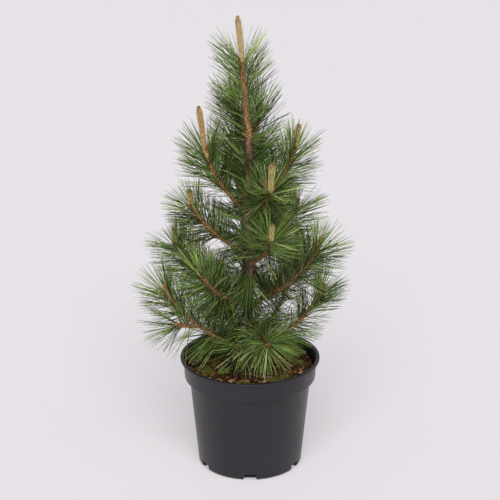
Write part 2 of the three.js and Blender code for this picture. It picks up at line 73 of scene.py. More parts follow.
# The trunk's course: heights, and how far to the right it stands there
TRUNK_DRIFT = [
    (TRUNK_FOOT, 3), (163, 3), (228, -3), (293, 1), (365, -3), (461, -1), (526, -7),
    (SHOULDER_HEIGHT, -11), (TRUNK_TIP, -16.5),
]
WHORL_HEIGHTS = {"low": 163, "second": 228, "middle": 293, "upper": 365, "top": 461}
LOWER_WHORLS = ("low", "second")
BOUGH_GIRTH = {"low": 1.14, "second": 1.04, "middle": 0.86, "upper": 0.8, "top": 0.7}
CANDLE_PITCH = 82

# Boughs: whorl, side, azimuth, reach, rise to the shoot's tip, step above the whorl, the candle's
# length, its finish and its pitch. Degrees and millimetres.
BOUGHS = [
    ("low", "left", 198, 121, 101, 0, 14, "bud", CANDLE_PITCH),
    ("low", "front_left", 253, 50, 19, 9, 2, "bud", 30),
    ("low", "right", 350, 97, 98, 0, 7, "bud", CANDLE_PITCH),
    ("low", "back_right", 52, 100, 84, 8, 16, "bud", CANDLE_PITCH),
    ("low", "back_left", 126, 104, 78, 2, 18, "bud", CANDLE_PITCH),
    ("second", "left", 154, 108, 70, 0, 26, "olive", CANDLE_PITCH),
    ("second", "front_left", 217, 80, 62, 4, 11, "olive", CANDLE_PITCH),
    ("second", "front", 286, 96, -12, -4, 5, "bud", 24),
    ("second", "right", 345, 98, 91, 3, 17, "bud", CANDLE_PITCH),
    ("second", "back_right", 40, 92, 72, -5, 22, "tan", CANDLE_PITCH),
    ("second", "back", 95, 88, 84, 8, 26, "tan", CANDLE_PITCH),
    ("middle", "left", 174, 79, 65, 11, 25, "tan", CANDLE_PITCH),
    ("middle", "front", 291, 75, 59, 0, 24, "olive", CANDLE_PITCH),
    ("middle", "right", 20, 66, 66, 5, 12, "bud", CANDLE_PITCH),
    ("middle", "back_right", 68, 76, 66, -6, 24, "tan", CANDLE_PITCH),
    ("middle", "back_left", 104, 76, 76, 8, 30, "olive", CANDLE_PITCH),
    ("upper", "left", 194, 57.5, 92, 0, 62, "tan", CANDLE_PITCH),
    ("upper", "front", 296, 67, 49, 2, 41, "olive", CANDLE_PITCH),
    ("upper", "right", 4, 63, 88, 0, 34, "olive", CANDLE_PITCH),
    ("upper", "back_right", 74, 52, 74, 8, 10, "tan", CANDLE_PITCH),
    ("upper", "back_left", 110, 54, 80, 5, 10, "tan", CANDLE_PITCH),
    ("top", "back_right", 58, 27, 40, 0, 8, "tan", CANDLE_PITCH),
    ("top", "back_left", 142, 28, 44, 4, 8, "tan", CANDLE_PITCH),
]
# Sides of a stem that may be open: towards the viewer, above or below
OPEN_SIDES = {"viewer": (0, -0.93, 0.37), "above": (0, 0, 1), "below": (0, 0, -1)}


class Habit(NamedTuple):
    """How needles grow on a stem; the lean is in degrees, added to the usual one. A low freshness
    gives a shoot more deep needles: partly older needles, partly painted shade on shoots that sit in
    shade.
    """

    crowding: float = 1
    lean: float = 0
    freshness: float = 0
    openness: float = 1
    open_to: str = "viewer"
    growth: float = 1
    starts: float = 0.29


USUAL_HABIT = Habit()
# Boughs at the back get deeper needles, as painted shade
BACK_HABIT = Habit(0.8, freshness=-0.25, openness=0.15)
# Shoots that differ from the usual; a negative freshness gives the shoots in shade deeper needles, as
# painted shade
SHOOT_HABITS = {
    "low_front_left": Habit(0.85, 12, -1.8, 0.6, "above", growth=0.88),
    "low_right": Habit(0.8, -6, 0, 0.2, growth=0.86, starts=0.3),
    "low_back_right": Habit(0.6, -10, -0.5, 0.1, growth=0.9, starts=0.33),
    "second_front": Habit(1, 6, 0.2, 0.55, "below"),
    "second_right": Habit(0.84, 4, -0.1, 0, starts=0.16),
    "second_left": Habit(1.15, openness=0.7),
    "second_front_left": Habit(1.1, openness=0.75),
    "second_back_right": Habit(0.42, -4, -0.3, 0.3),
    "middle_front": Habit(1.1, 3, 0.05, 1, "below"),
    "middle_right": Habit(0.78, -2, 0, 0.5),
    "middle_back_right": Habit(0.5, -6, -0.3, 0.3),
    "middle_back_left": Habit(0.8, 0, -0.3, 0, starts=0.12),
    "upper_front": Habit(1.1, 3, 0.15, 0.8, "below"),
    "upper_left": Habit(1.05, -7, 0, 0.9, growth=1.06),
    "middle_left": Habit(1.3, 0, -0.3, growth=0.93),
    "upper_right": Habit(0.8, -8, 0, 0.4, starts=0.36),
    "upper_back_right": Habit(0.55, -4, -0.3, 0.3, starts=0.45),
    "upper_back_left": Habit(0.8, 0, -0.3, 0, starts=0.1),
    "top_back_right": Habit(0.7, -24, -0.3, 0),
    "top_back_left": Habit(0.7, -24, -0.3, 0),
}
# The leader, and the extra lean of its needles at the foot and at the tip
LEADER_HABIT = Habit(crowding=0.86, freshness=0.45, openness=0.8, growth=1.04)
LEADER_LEAN = (-16, 4)
# How far a candle's scales reach down its shoot, in millimetres, and where they reach further
CANDLE_SLEEVE = 2
CANDLE_SLEEVES = {"upper_left": 11, "upper_right": 5}
# Share of such a longer sleeve that bears no needles
SLEEVE_BARE = 0.6
# Girth of a bud, and of the candles that are slimmer than the usual one
BUD_GIRTH = 0.62
CANDLE_GIRTHS = {
    "low_front_left": 0.35, "second_front": 0.4, "second_front_left": 0.5, "middle_front": 0.74,
    "upper_left": 0.92, "upper_front": 0.96, "upper_right": 0.84,
}
# Older needles on the trunk: from, to, crowding, openness, lean at both ends in degrees, freshness,
# which is low both for their age and as painted shade inside the crown
TRUNK_NEEDLES = [
    (178, 222, 1, 0, 100, 70, -0.9),
    (232, 272, 1.8, 0, 126, 100, -0.7),
    (272, 290, 1, 0, 146, 140, -1),
    (300, 358, 1.3, 0.2, 104, 70, -0.5),
    (372, 405, 1.1, 0, 92, 66, -0.1),
    (406, 440, 1.2, 0, 58, 44, 0.1),
    (440, 473, 0.6, 0.6, 80, 70, -0.4),
]
# Where sky shows through the crown: x, z and radius in millimetres, on the upright plane through
# the trunk, as the camera sees it
SKY_GAPS = [
    (-51, 322, 4), (-43, 320, 6), (-34, 316, 5), (-38, 388, 3.5), (-30, 387, 4), (-33, 379, 3),
    (53, 229, 5.5), (59, 228, 4), (-19, 348, 5.5), (-26, 339, 3), (-20, 403, 4.5),
    (-89, 194, 3.5), (-94, 188, 3), (-59, 490, 3), (-101, 210, 3.5),
    (85, 216, 3), (-58, 396, 3.5), (-27, 381, 3), (22, 557, 2.5), (28, 521, 2.5), (23, 538, 2.5),
    (84, 251, 3), (-115, 223, 2.5), (73, 390, 6),
    (-75, 411, 5), (-136, 240, 3), (108, 268, 4.5), (-48, 563, 4), (-40, 560, 3), (-104, 170, 4.5),
    (-93, 166, 5), (-115, 178, 3),
]
# Share of the needles that still cross such a place
GAP_STRAYS = 0.08
# Where the crown is only thin, and the share of the needles that stay there
THIN_PLACES = [
    (24, 228, 9), (58, 250, 8), (76, 254, 5), (44, 234, 9), (86, 204, 10), (99, 216, 7),
    (78, 470, 6), (20, 530, 7), (-14, 612, 8), (-78, 240, 10), (-62, 264, 8), (-96, 262, 8),
    (-38, 556, 9), (-36, 546, 8), (36, 510, 8), (-24, 602, 9), (6, 606, 9),
]
THIN_STRAYS = 0.5
# Where no needle crosses in front of the trunk
BARK_SHOWS = [(6, 291, 4), (13, 297, 4)]
# Side twigs: bough, share along it, azimuth, reach and rise
SIDE_TWIGS = [("low_left", 0.56, 216, 38, 12)]
# Side buds: the shoot whose tip they sit beside, azimuth round it, pitch, length
SIDE_BUDS = [
    ("leader", 350, 62, 9), ("leader", 150, 58, 6), ("leader", 250, 60, 5),
    ("upper_front", 200, 70, 16), ("upper_front", 20, 55, 7), ("upper_left", 300, 58, 8),
    ("upper_right", 250, 60, 8), ("middle_front", 60, 50, 8), ("middle_front", 190, 55, 6),
    ("middle_left", 250, 50, 6), ("second_right", 250, 55, 7), ("second_left", 230, 55, 7),
    ("second_front", 110, 50, 3), ("low_left", 240, 50, 6),
]
# A side bud's radius, how far beside and below its tip it starts, and how much of it is sunk in
SIDE_BUD_RADIUS = 2.1
SIDE_BUD_ASIDE = 1.5
SIDE_BUD_BELOW = 1
SIDE_BUD_SUNK = 2
# Pale knobs where a bud has dried: bough, share along it, azimuth, pitch, length
KNOBS = [("low_left", 0.54, 280, 40, 2), ("second_front_left", 0.4, 275, 50, 4)]
KNOB_RADIUS = 2.3
KNOB_SUNK = 3

# Shape of the limbs, as in the part
BOUGH_BEND = 18
BOUGH_EASE = 0.36
BARE_SHARE = 0.26
TWIG_SAG = 0.08
TWIG_BARE_SHARE = 0.3
GOLDEN_ANGLE = 137.508
# Steps of a curve between its points, and how far to either side its direction is read, as a share
LINE_STEPS = 48
DIRECTION_REACH = 0.02
# Share of a shoot over which it takes its needled girth, and the most that it may gain there
NEEDLED_OVER = 0.12
NEEDLED_GAIN = 1.02
# Shape of a candle, as shares of its length and radius
CANDLE_FOOT_GIRTH = 0.72
CANDLE_FULL_FROM = 0.6
CANDLE_SHOULDER = 0.87

DRAIN_SLOTS = 6
SEEDS = {"soil": 3, "candles": 5, "trunk": 7, "boughs": 11, "mulch": 17, "needles": 31}


def linear(code):
    """The linear colour of a hexadecimal screen colour."""
    channels = [int(code[i:i + 2], 16) / 255 for i in (0, 2, 4)]
    return [c / 12.92 if c <= 0.04045 else ((c + 0.055) / 1.055) ** 2.4 for c in channels]


def size(name, description, millimetres):
    return FloatProperty(
        name=name, description=description, default=millimetres * MM, unit="LENGTH", precision=5
    )


def angle(name, description, degrees):
    return FloatProperty(
        name=name, description=description, default=math.radians(degrees), subtype="ANGLE"
    )


def factor(name, description, value):
    return FloatProperty(name=name, description=description, default=value, min=0, max=2)


def power(name, description, watts):
    return FloatProperty(name=name, description=description, default=watts, unit="POWER")


def count(name, description, value):
    return IntProperty(name=name, description=description, default=value, min=0)


def colour(name, description, code):
    return FloatVectorProperty(
        name=name, description=description, default=linear(code), min=0, max=1, subtype="COLOR"
    )


class PineStageSettings(bpy.types.PropertyGroup):
    distance: size("Camera distance", "From the camera to the point it looks at", 3000)
    aim: size("Aim height", "Height of the point that the camera looks at", 310)
    pitch: angle("Camera pitch", "How far the camera looks down", 21.6)
    lens: FloatProperty(name="Lens", description="Focal length", default=161.2, unit="CAMERA")
    key: power("Key light", "Power of the large soft light at the left", 6)
    fill: power("Fill light", "Power of the large soft light at the right", 6)
    sky: factor("Overhead light", "Strength of the wide, even light from above", 2.85)
    sky_tilt: angle("Overhead tilt", "How far the overhead light leans towards the viewer", 44)
    sky_width: angle("Overhead width", "How wide the overhead light spreads", 45)
    ambient: factor("Ambient light", "Strength of the room's light from above", 0.24)
    horizon: factor("Horizon light", "Strength of the room's light from its pale walls", 0.72)
    floor: colour("Floor", "Colour of the studio floor", "e7e3e7")
    # The floor's glow is painted light: emission that lifts the shadows round the pot
    glow: factor("Floor glow", "Share of the floor's light that shines through it from below", 0.4)
    room: colour("Room", "Colour of the room's even light", "f1eff4")


class PinePotSettings(bpy.types.PropertyGroup):
    height: size("Height", "Height of the pot", 155)
    rim_radius: size("Rim radius", "Radius over the flanged lip", 95)
    band_top_radius: size("Band top radius", "Radius of the band under the lip", 91)
    band_foot_radius: size("Band foot radius", "Radius of the band at its lower edge", 89.2)
    band_foot: size("Band foot height", "Height of the band's lower edge", 127.4)
    neck_radius: size("Neck radius", "Radius of the wall just under the band", 82.8)
    foot_radius: size("Foot radius", "Radius of the wall at the floor", 70.6)
    band_undercut: size("Band undercut", "How far the band's edge hangs below its root", 0.9)
    lip: size("Lip thickness", "Thickness of the flanged lip", 3)
    wall: size("Wall", "Thickness of the wall", 1.8)
    base: size("Base", "Thickness of the pot's floor", 2.6)
    slot_width: size("Slot width", "Width of each slot round the foot", 17)
    slot_height: size("Slot height", "Height of each slot round the foot", 9)
    slot_inner_radius: size("Slot inner radius", "How far in each slot is cut", 61)
    sides: count("Sides", "Facets round the pot", 168)
    plastic: colour("Plastic", "Colour of the clean plastic", "18161a")
    worn: colour("Worn plastic", "Colour where the plastic is rubbed and dusty", "222026")


class PineSoilSettings(bpy.types.PropertyGroup):
    roughness: size("Roughness", "Height of the long waves in the soil", 2.2)
    crumb: size("Crumb", "Height of the fine crumbs in the soil's surface", 2.2)
    chips: count("Bark chips", "Number of bark chips", 900)
    crumbs: count("Crumbs", "Number of loose crumbs", 1800)
    moss_blades: count("Moss", "Number of moss leaves", 5200)
    dry_needles: count("Dry needles", "Number of fallen needles", 46)
    mix_dark: colour("Wet mix", "Darkest colour of the potting mix", "110a05")
    mix_light: colour("Dry mix", "Lightest colour of the potting mix", "523b24")
    chip_rust: colour("Rust chip", "Colour of the rust brown bark chips", "a2673a")
    chip_dark: colour("Dark chip", "Colour of the dark bark chips", "3c2818")
    chip_pale: colour("Pale chip", "Colour of the pale wood chips", "cba27a")
    moss_bright: colour("Bright moss", "Colour of the fresh moss", "84a03a")
    moss_dull: colour("Dull moss", "Colour of the older moss", "8f8a3c")
    straw: colour("Fallen needle", "Colour of the fallen needles", "a58a58")


class PineBarkSettings(bpy.types.PropertyGroup):
    limb_girth: factor("Limb girth", "Girth of every bough against the part's", 0.7)
    flare_radius: size("Root flare", "Radius of the trunk at the soil", 13)
    foot_radius: size("Trunk foot", "Radius of the trunk above its flare", 8.2)
    shoulder_radius: size("Trunk shoulder", "Radius of the trunk under its candle", 3.8)
    flare_height: size("Flare height", "Height over which the flare dies away", 9)
    node_swelling: size("Node swelling", "How far the trunk swells at a whorl", 0.9)
    node_half_height: size("Node height", "Half the height of that swelling", 9)
    bough_foot: size("Bough foot", "Radius of a bough at the trunk", 4.4)
    bough_neck: size("Bough neck", "Radius of a bough where its needles start", 3.8)
    shoot_foot: size("Shoot foot", "Radius of a shoot where its needles start", 3.5)
    shoot_tip: size("Shoot tip", "Radius of a shoot under its candle", 2.7)
    twig: size("Twig", "Radius of a side twig", 2.5)
    relief: size("Relief", "Depth of the bark's cracks and flakes", 0.5)
    base_spacing: size("Needle base spacing", "Stem length for each needle base", 0.7)
    base_length: size("Needle base length", "Length of a raised needle base", 4.8)
    base_width: size("Needle base width", "Width of a raised needle base", 2.5)
    old_light: colour("Old bark", "Light colour of the trunk's older bark", "967460")
    old_dark: colour("Old bark cracks", "Dark colour of the trunk's older bark", "4a3228")
    young_light: colour("Young bark", "Light colour of the young bark", "a07c4e")
    young_dark: colour("Young bark cracks", "Dark colour of the young bark", "442c18")
    leader_base_light: colour(
        "Leader needle base", "Light colour of the leader's needle bases", "e6b678"
    )
    leader_base_dark: colour(
        "Leader needle base shade", "Dark colour of the leader's needle bases", "714a26"
    )
    base_light: colour("Needle base", "Light colour of the lower boughs' needle bases", "e0b67a")
    base_dark: colour("Needle base shade", "Dark colour of the lower boughs' needle bases", "462c16")
    # Needle bases on the middle, upper and top whorls, a little darker than the lower boughs'
    upper_base_light: colour("Young needle base", "Light colour of the younger needle bases", "d09e60")
    upper_base_dark: colour(
        "Young needle base shade", "Dark colour of the younger needle bases", "422710"
    )


class PineCandleSettings(bpy.types.PropertyGroup):
    radius: size("Radius", "Radius of a side shoot's candle", 3.9)
    leader_radius: size("Leader radius", "Radius of the leader's candle", 3.5)
    scale_length: size("Scale length", "Length of a candle's scale", 4.4)
    scale_width: size("Scale width", "Width of a candle's scale", 2.3)
    straw: colour("Straw scales", "Colour of the scales on the leader's candle", "e2c791")
    tan: colour("Tan scales", "Colour of a dry candle's scales", "d3b379")
    olive: colour("Olive scales", "Colour of a growing candle's scales", "c9c07a")
    brown: colour("Bud scales", "Colour of the bud scales at the tips", "a67f4e")
    core: colour("Candle core", "Colour between a candle's scales", "64451c")


class PineNeedleSettings(bpy.types.PropertyGroup):
    length: size("Length", "Length of a full-grown needle", 51)
    width: size("Width", "Width of a needle", 0.92)
    thickness: size("Thickness", "Thickness of a needle", 0.66)
    spacing: size("Spacing", "Stem length for each pair of needles", 0.275)
    sheath: size("Sheath", "Length of the sheath round a pair's foot", 5)
    bend: size("Bend", "How far a needle's tip curves from a straight line", 0.8)
    lean_foot: angle("Lean at the foot", "Angle from the stem at the oldest needles", 66)
    lean_tip: angle("Lean at the tip", "Angle from the stem at the youngest needles", 38)
    sweep: angle("Sweep", "How much closer to the stem the needles on its upper side lean", 7)
    thinning: factor("Thinning", "Share of the needles missing from a stem's open side", 0.82)
    spread: angle("Pair spread", "Half the angle between the needles of a pair", 5)
    # Deep needles: partly the darker old needles, partly painted shade for shoots in shade and the
    # crown's inside
    deep: colour("Deep green", "Colour of the oldest needles", "25300f")
    mid: colour("Mid green", "Colour of most needles", "638338")
    fresh: colour("Fresh green", "Colour of the youngest needles", "81a04f")
    # Pale needles: partly the pale lines and tips of real needles, partly a painted highlight for the
    # gloss of lit needles
    pale: colour("Pale green", "Colour of the dry, pale needles", "bcc988")
    blue: colour("Blue green", "Colour of the waxy needles", "446d48")
    sheath_colour: colour("Sheath colour", "Colour of the sheaths", "6f5334")


SETTINGS = {
    "pine_stage": PineStageSettings,
    "pine_pot": PinePotSettings,
    "pine_soil": PineSoilSettings,
    "pine_bark": PineBarkSettings,
    "pine_candles": PineCandleSettings,
    "pine_needles": PineNeedleSettings,
}


def unit(vectors):
    return vectors / np.linalg.norm(vectors, axis=-1, keepdims=True)


def mix(start, end, share):
    return start + (end - start) * share


def heading(azimuth, pitch=0.0):
    """A unit vector at an azimuth and a pitch, both in degrees."""
    turn, climb = np.radians(azimuth), np.radians(pitch)
    return np.array([np.cos(climb) * np.cos(turn), np.cos(climb) * np.sin(turn), np.sin(climb)])


def turns(sides):
    """Even angles round a circle."""
    return np.arange(sides) * 2 * np.pi / sides


def ring_points(radius, turn, height):
    """Points round the upright axis, from radii, angles and heights."""
    flat = (radius * np.cos(turn), radius * np.sin(turn))
    return np.stack(np.broadcast_arrays(*flat, height), axis=-1)


class Line:
    """A smooth line through space, read by shares of its length."""

    def __init__(self, points):
        self.points = np.asarray(points, float)
        steps = np.linalg.norm(np.diff(self.points, axis=0), axis=1)
        self.run = np.concatenate([[0], np.cumsum(steps)])
        self.length = self.run[-1]

    def at(self, shares):
        along = np.clip(shares, 0, 1) * self.length
        return np.stack([np.interp(along, self.run, axis) for axis in self.points.T], axis=-1)

    def direction(self, shares):
        ahead = np.minimum(1, np.add(shares, DIRECTION_REACH))
        behind = np.maximum(0, np.subtract(shares, DIRECTION_REACH))
        return unit(self.at(ahead) - self.at(behind))


def spline_through(points):
    """Points of a centripetal Catmull-Rom spline through the given ones."""
    points = np.asarray(points, float)
    ends = [2 * points[0] - points[1], 2 * points[-1] - points[-2]]
    padded = np.vstack([ends[0], points, ends[1]])
    share = np.linspace(0, 1, LINE_STEPS, endpoint=False)[:, None]
    made = []
    for before, start, end, after in zip(padded, padded[1:], padded[2:], padded[3:]):
        pairs = ((before, start), (start, end), (end, after))
        ahead, across, beyond = (np.linalg.norm(b - a) ** 0.5 for a, b in pairs)
        step = (end - start) / across
        leave = (start - before) / ahead - (end - before) / (ahead + across) + step
        arrive = step - (after - start) / (across + beyond) + (after - end) / beyond
        leave, arrive = leave * across, arrive * across
        bend = 2 * (start - end) + leave + arrive
        turn = 3 * (end - start) - 2 * leave - arrive
        made.append(start + leave * share + turn * share**2 + bend * share**3)
    return np.vstack([*made, points[-1:]])


def bezier(controls):
    """Points of a Bezier curve with any number of control points."""
    share = np.linspace(0, 1, LINE_STEPS)[:, None]
    last = len(controls) - 1
    weights = [math.comb(last, k) * share**k * (1 - share) ** (last - k) for k in range(last + 1)]
    return sum(weight * control for weight, control in zip(weights, controls))


def trunk_share(height):
    """The share of the trunk's length at a height in millimetres."""
    return (height - TRUNK_FOOT) / (TRUNK_TIP - TRUNK_FOOT)


def offset(azimuth, reach, rise):
    """A step outwards and up in metres, from degrees and millimetres."""
    return MM * (reach * heading(azimuth) + np.array([0, 0, rise]))


class Shoot:
    """A bough with its shoot, candle and side twigs."""

    def __init__(self, trunk, row):
        whorl, side, azimuth, reach, rise, step, candle, finish, pitch = row
        self.name = f"{whorl}_{side}"
        self.girth = BOUGH_GIRTH[whorl]
        self.finish = finish
        foot = trunk.at(trunk_share(WHORL_HEIGHTS[whorl] + step))
        tip = foot + offset(azimuth, reach, rise)
        climb = math.degrees(math.atan2(rise, reach))
        leave = heading(azimuth, climb - BOUGH_BEND)
        arrive = heading(azimuth, min(CANDLE_PITCH, climb + BOUGH_BEND))
        ease = BOUGH_EASE * np.linalg.norm(tip - foot)
        self.line = Line(bezier([foot, foot + ease * leave, tip - ease * arrive, tip]))
        self.candle_axis = heading(azimuth, pitch)
        self.candle = candle * MM
        self.side = heading(azimuth + 90)
        self.twigs = []
        for bough, share, turn, twig_reach, twig_rise in SIDE_TWIGS:
            if bough == self.name:
                start = self.line.at(share)
                end = start + offset(turn, twig_reach, twig_rise)
                middle = (start + end) / 2 - np.array([0, 0, TWIG_SAG * twig_reach * MM])
                self.twigs.append((Line(bezier([start, middle, end])), heading(turn + 90)))


TRUNK = Line(spline_through([(x * MM, 0, height * MM) for height, x in TRUNK_DRIFT]))
SHOOTS = [Shoot(TRUNK, row) for row in BOUGHS]
FRONT = np.array([0.0, -1.0, 0.0])
BOUGH_NODES = [f"bough_{shoot.name}" for shoot in SHOOTS]
FOLIAGE_NODES = [f"foliage_{shoot.name}" for shoot in SHOOTS] + ["foliage_leader"]


def trunk_radius(height, bark):
    """The trunk's radius at heights in metres, below its candle."""
    foot = TRUNK_FOOT * MM
    share = (height - foot) / (SHOULDER_HEIGHT * MM - foot)
    flare = (bark.flare_radius - bark.foot_radius) * np.exp(-(height - foot) / bark.flare_height)
    swelling = sum(
        bark.node_swelling * np.exp(-(((height - whorl * MM) / bark.node_half_height) ** 2))
        for whorl in WHORL_HEIGHTS.values()
    )
    return mix(bark.foot_radius, bark.shoulder_radius, share) + flare + swelling


# Soil, in millimetres: level round the trunk, and rough beyond by waves and ripples of about these
# lengths
SOIL_LEVEL_RADIUS = 18
SOIL_ROUGH_OVER = 30
SOIL_WAVE = 55
SOIL_RIPPLE = 21


def soil_height(x, y, roughness):
    """The soil's height at places in metres: waves that die away towards the trunk."""
    wide, long = x / MM, y / MM
    fade = np.clip((np.hypot(wide, long) - SOIL_LEVEL_RADIUS) / SOIL_ROUGH_OVER, 0, 1)
    wave = np.sin(wide * (6 / SOIL_WAVE) + 1) * np.cos(long * (7 / SOIL_WAVE))
    ripple = np.sin(wide * (6.5 / SOIL_RIPPLE)) * np.sin(long * (5.5 / SOIL_RIPPLE) + 2)
    return SOIL_TOP * MM + roughness * fade * (wave + ripple / 2 - 1 / 3)


class Heap:
    """Closed shells, heaped up and joined into one mesh."""

    def __init__(self):
        self.points = []
        self.faces = []
        self.total = 0

    def add(self, points, faces):
        points = np.asarray(points, float).reshape(-1, 3)
        self.points.append(points)
        self.faces.append(np.asarray(faces) + self.total)
        self.total += len(points)

    def piece(self, name, material, slot, nodes, smooth=True):
        """The heap as a piece of the plant that stands for some of the part's nodes."""
        points, faces = np.vstack(self.points), np.vstack(self.faces).astype(np.int32)
        mesh = bpy.data.meshes.new(name)
        mesh.vertices.add(len(points))
        mesh.vertices.foreach_set("co", points.astype(np.float32).ravel())
        mesh.loops.add(faces.size)
        mesh.loops.foreach_set("vertex_index", faces.ravel())
        mesh.polygons.add(len(faces))
        mesh.polygons.foreach_set("loop_start", np.arange(0, faces.size, 3, dtype=np.int32))
        mesh.polygons.foreach_set("use_smooth", np.full(len(faces), smooth))
        mesh.update(calc_edges=True)
        if mesh.validate():
            raise RuntimeError(f"{name} has faces that Blender had to mend")
        return place_piece(name, mesh, material, nodes)


def add_object(name, data):
    """A new object in the scene."""
    made = bpy.data.objects.new(name, data)
    bpy.context.scene.collection.objects.link(made)
    return made


def place_piece(name, mesh, material, nodes):
    """Links a mesh as a piece that rides on the plant's body."""
    piece = add_object(name, mesh)
    mesh.materials.append(material)
    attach(piece, BODY)
    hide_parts(*nodes)
    return piece


def spindle_faces(number, rows, sides):
    """Triangles of spindles: a foot point, rows of rings and a tip point each."""
    ring = 1 + np.arange(rows * sides).reshape(rows, sides)
    after = np.roll(ring, -1, axis=1)
    low, low_next, high, high_next = ring[:-1], after[:-1], ring[1:], after[1:]
    tip = 1 + rows * sides
    faces = np.vstack([
        np.stack([np.zeros_like(ring[0]), after[0], ring[0]], axis=-1),
        np.stack([low, low_next, high_next], axis=-1).reshape(-1, 3),
        np.stack([low, high_next, high], axis=-1).reshape(-1, 3),
        np.stack([ring[-1], after[-1], np.full_like(ring[0], tip)], axis=-1),
    ])
    return (faces + np.arange(number)[:, None, None] * (tip + 1)).reshape(-1, 3)


def add_spindles(heap, centres, first, second, foot, tip, sides, start=0.5, relief=None):
    """Adds closed spindles. Centres and half axes are (number, rows, 3), foot and tip (number, 3)."""
    number, rows = centres.shape[:2]
    turn = (np.arange(sides) + start) * 2 * np.pi / sides
    across = first[:, :, None] * np.cos(turn)[:, None] + second[:, :, None] * np.sin(turn)[:, None]
    if relief is not None:
        across = across * relief[..., None]
    rings = (centres[:, :, None] + across).reshape(number, rows * sides, 3)
    points = np.concatenate([foot[:, None], rings, tip[:, None]], axis=1)
    heap.add(points, spindle_faces(number, rows, sides))


def add_tube(heap, course, girth, domes, sides, relief=None):
    """A closed tube along a line's frames, with its radii there and how far its ends are domed."""
    centres, tangents, first, second = course
    foot = centres[:1] - tangents[:1] * domes[0]
    tip = centres[-1:] + tangents[-1:] * domes[1]
    first, second = (first * girth)[None], (second * girth)[None]
    add_spindles(heap, centres[None], first, second, foot, tip, sides, relief=relief)


def add_flakes(heap, centres, across, up, foot, tip, sides=4, start=0):
    """Pointed flakes of one ring each, from arrays with a row for each flake."""
    add_spindles(heap, centres[:, None], across[:, None], up[:, None], foot, tip, sides, start)


def smooth_noise(shape, cells, random):
    """A field of soft random lumps from -1 to 1, which wraps round its second axis."""
    lattice = random.uniform(-1, 1, (cells[0] + 2, cells[1]))
    row = np.linspace(0, cells[0], shape[0])
    column = np.arange(shape[1]) * cells[1] / shape[1]
    row_cell, column_cell = row.astype(int), column.astype(int)
    ease_row = (row - row_cell)[:, None]
    ease_column = (column - column_cell)[None]
    ease_row, ease_column = (ease * ease * (3 - 2 * ease) for ease in (ease_row, ease_column))
    right = (column_cell + 1) % cells[1]
    top = mix(lattice[row_cell][:, column_cell], lattice[row_cell][:, right], ease_column)
    low = mix(lattice[row_cell + 1][:, column_cell], lattice[row_cell + 1][:, right], ease_column)
    return mix(top, low, ease_row)


def frames(line, side, shares):
    """Places on a line, its directions there and two ways across it, the first turned to a side."""
    centres, tangents = line.at(shares), line.direction(shares)
    first = unit(side - tangents * (tangents @ side)[:, None])
    return centres, tangents, first, np.cross(tangents, first)


# Bark: the spacing of its rows, the shares of lumps and flakes in its relief, how steep its flakes
# are, and how far a stem's foot and tip are domed
BARK_ROW = 1.3 * MM
BARK_LUMPS = 0.45
BARK_FLAKES = 0.55
FLAKE_STEEPNESS = 0.6
STEM_DOMES = (0.2 * MM, 0.2 * MM)
# How far needle bases stray from the golden angle, in degrees
BASE_TURN_JITTER = 6


def add_bark_tube(heap, line, side, start, end, radius, sides, relief, random):
    """A bark-covered stem along a stretch of a line. The radius is a function of shares."""
    rows = max(4, int(line.length * (end - start) / BARK_ROW))
    shares = np.linspace(start, end, rows)
    girth = radius(shares)[:, None]
    lumps = smooth_noise((rows, sides), (max(2, rows // 4), 5), random)
    flakes = smooth_noise((rows, sides), (max(2, rows // 2), max(5, sides // 2)), random)
    flakes = np.sign(flakes) * np.abs(flakes) ** FLAKE_STEEPNESS
    rough = 1 + relief / girth * (BARK_LUMPS * lumps + BARK_FLAKES * flakes)
    add_tube(heap, frames(line, side, shares), girth, STEM_DOMES, sides, rough[None])


def stem_places(line, side, start, end, radius, spacing, random, jitter=BASE_TURN_JITTER):
    """Places on a stem by the golden angle: root, tangent, outward direction and share."""
    number = max(1, int(line.length * (end - start) / spacing))
    along = (np.arange(number) + 0.5) / number
    shares = mix(start, end, along)
    centres, tangents, first, second = frames(line, side, shares)
    turn = np.radians(np.arange(number) * GOLDEN_ANGLE + random.uniform(-jitter, jitter, number))
    outwards = first * np.cos(turn)[:, None] + second * np.sin(turn)[:, None]
    return centres + outwards * radius(shares)[:, None], tangents, outwards, along


# Needle bases: how high they stand, how they vary as shares of the usual, where they end behind and
# ahead as shares of their length, and how high their foot, middle and tip are as shares of the lift
BASE_LIFT = 0.75 * MM
TWIG_BASE_LIFT = 0.7 * MM
BASE_LENGTHS = (0.8, 1.2)
BASE_WIDTHS = (0.75, 1.15)
BASE_LIFTS = (0.7, 1.3)
BASE_BEHIND = 0.6
BASE_AHEAD = 0.4
BASE_FOOT_DEPTH = 0.5
BASE_MIDDLE_HEIGHT = 0.35
BASE_TIP_HEIGHT = 1.7


def add_needle_bases(heap, places, bark, random, widening=1, lift=BASE_LIFT):
    """Raised diamond-shaped needle bases, whose tips stand out from the stem."""
    roots, tangents, outwards, _ = places
    number = len(roots)
    reach = (bark.base_length * random.uniform(*BASE_LENGTHS, number))[:, None]
    across = np.cross(outwards, tangents)
    half = (bark.base_width * widening / 2 * random.uniform(*BASE_WIDTHS, number))[:, None]
    high = (lift * random.uniform(*BASE_LIFTS, number))[:, None]
    centres = roots + outwards * high * BASE_MIDDLE_HEIGHT
    add_flakes(
        heap, centres, across * half, outwards * high,
        roots - tangents * reach * BASE_BEHIND - outwards * high * BASE_FOOT_DEPTH,
        roots + tangents * reach * BASE_AHEAD + outwards * high * BASE_TIP_HEIGHT,
    )


def distance_to_chain(points, chain):
    """The distance from each point to a chain of points."""
    least = np.full(len(points), np.inf)
    for start, end in zip(chain, chain[1:]):
        step = end - start
        share = np.clip((points - start) @ step / (step @ step), 0, 1)
        gap = np.linalg.norm(points - start - share[:, None] * step, axis=1)
        least = np.minimum(least, gap)
    return least


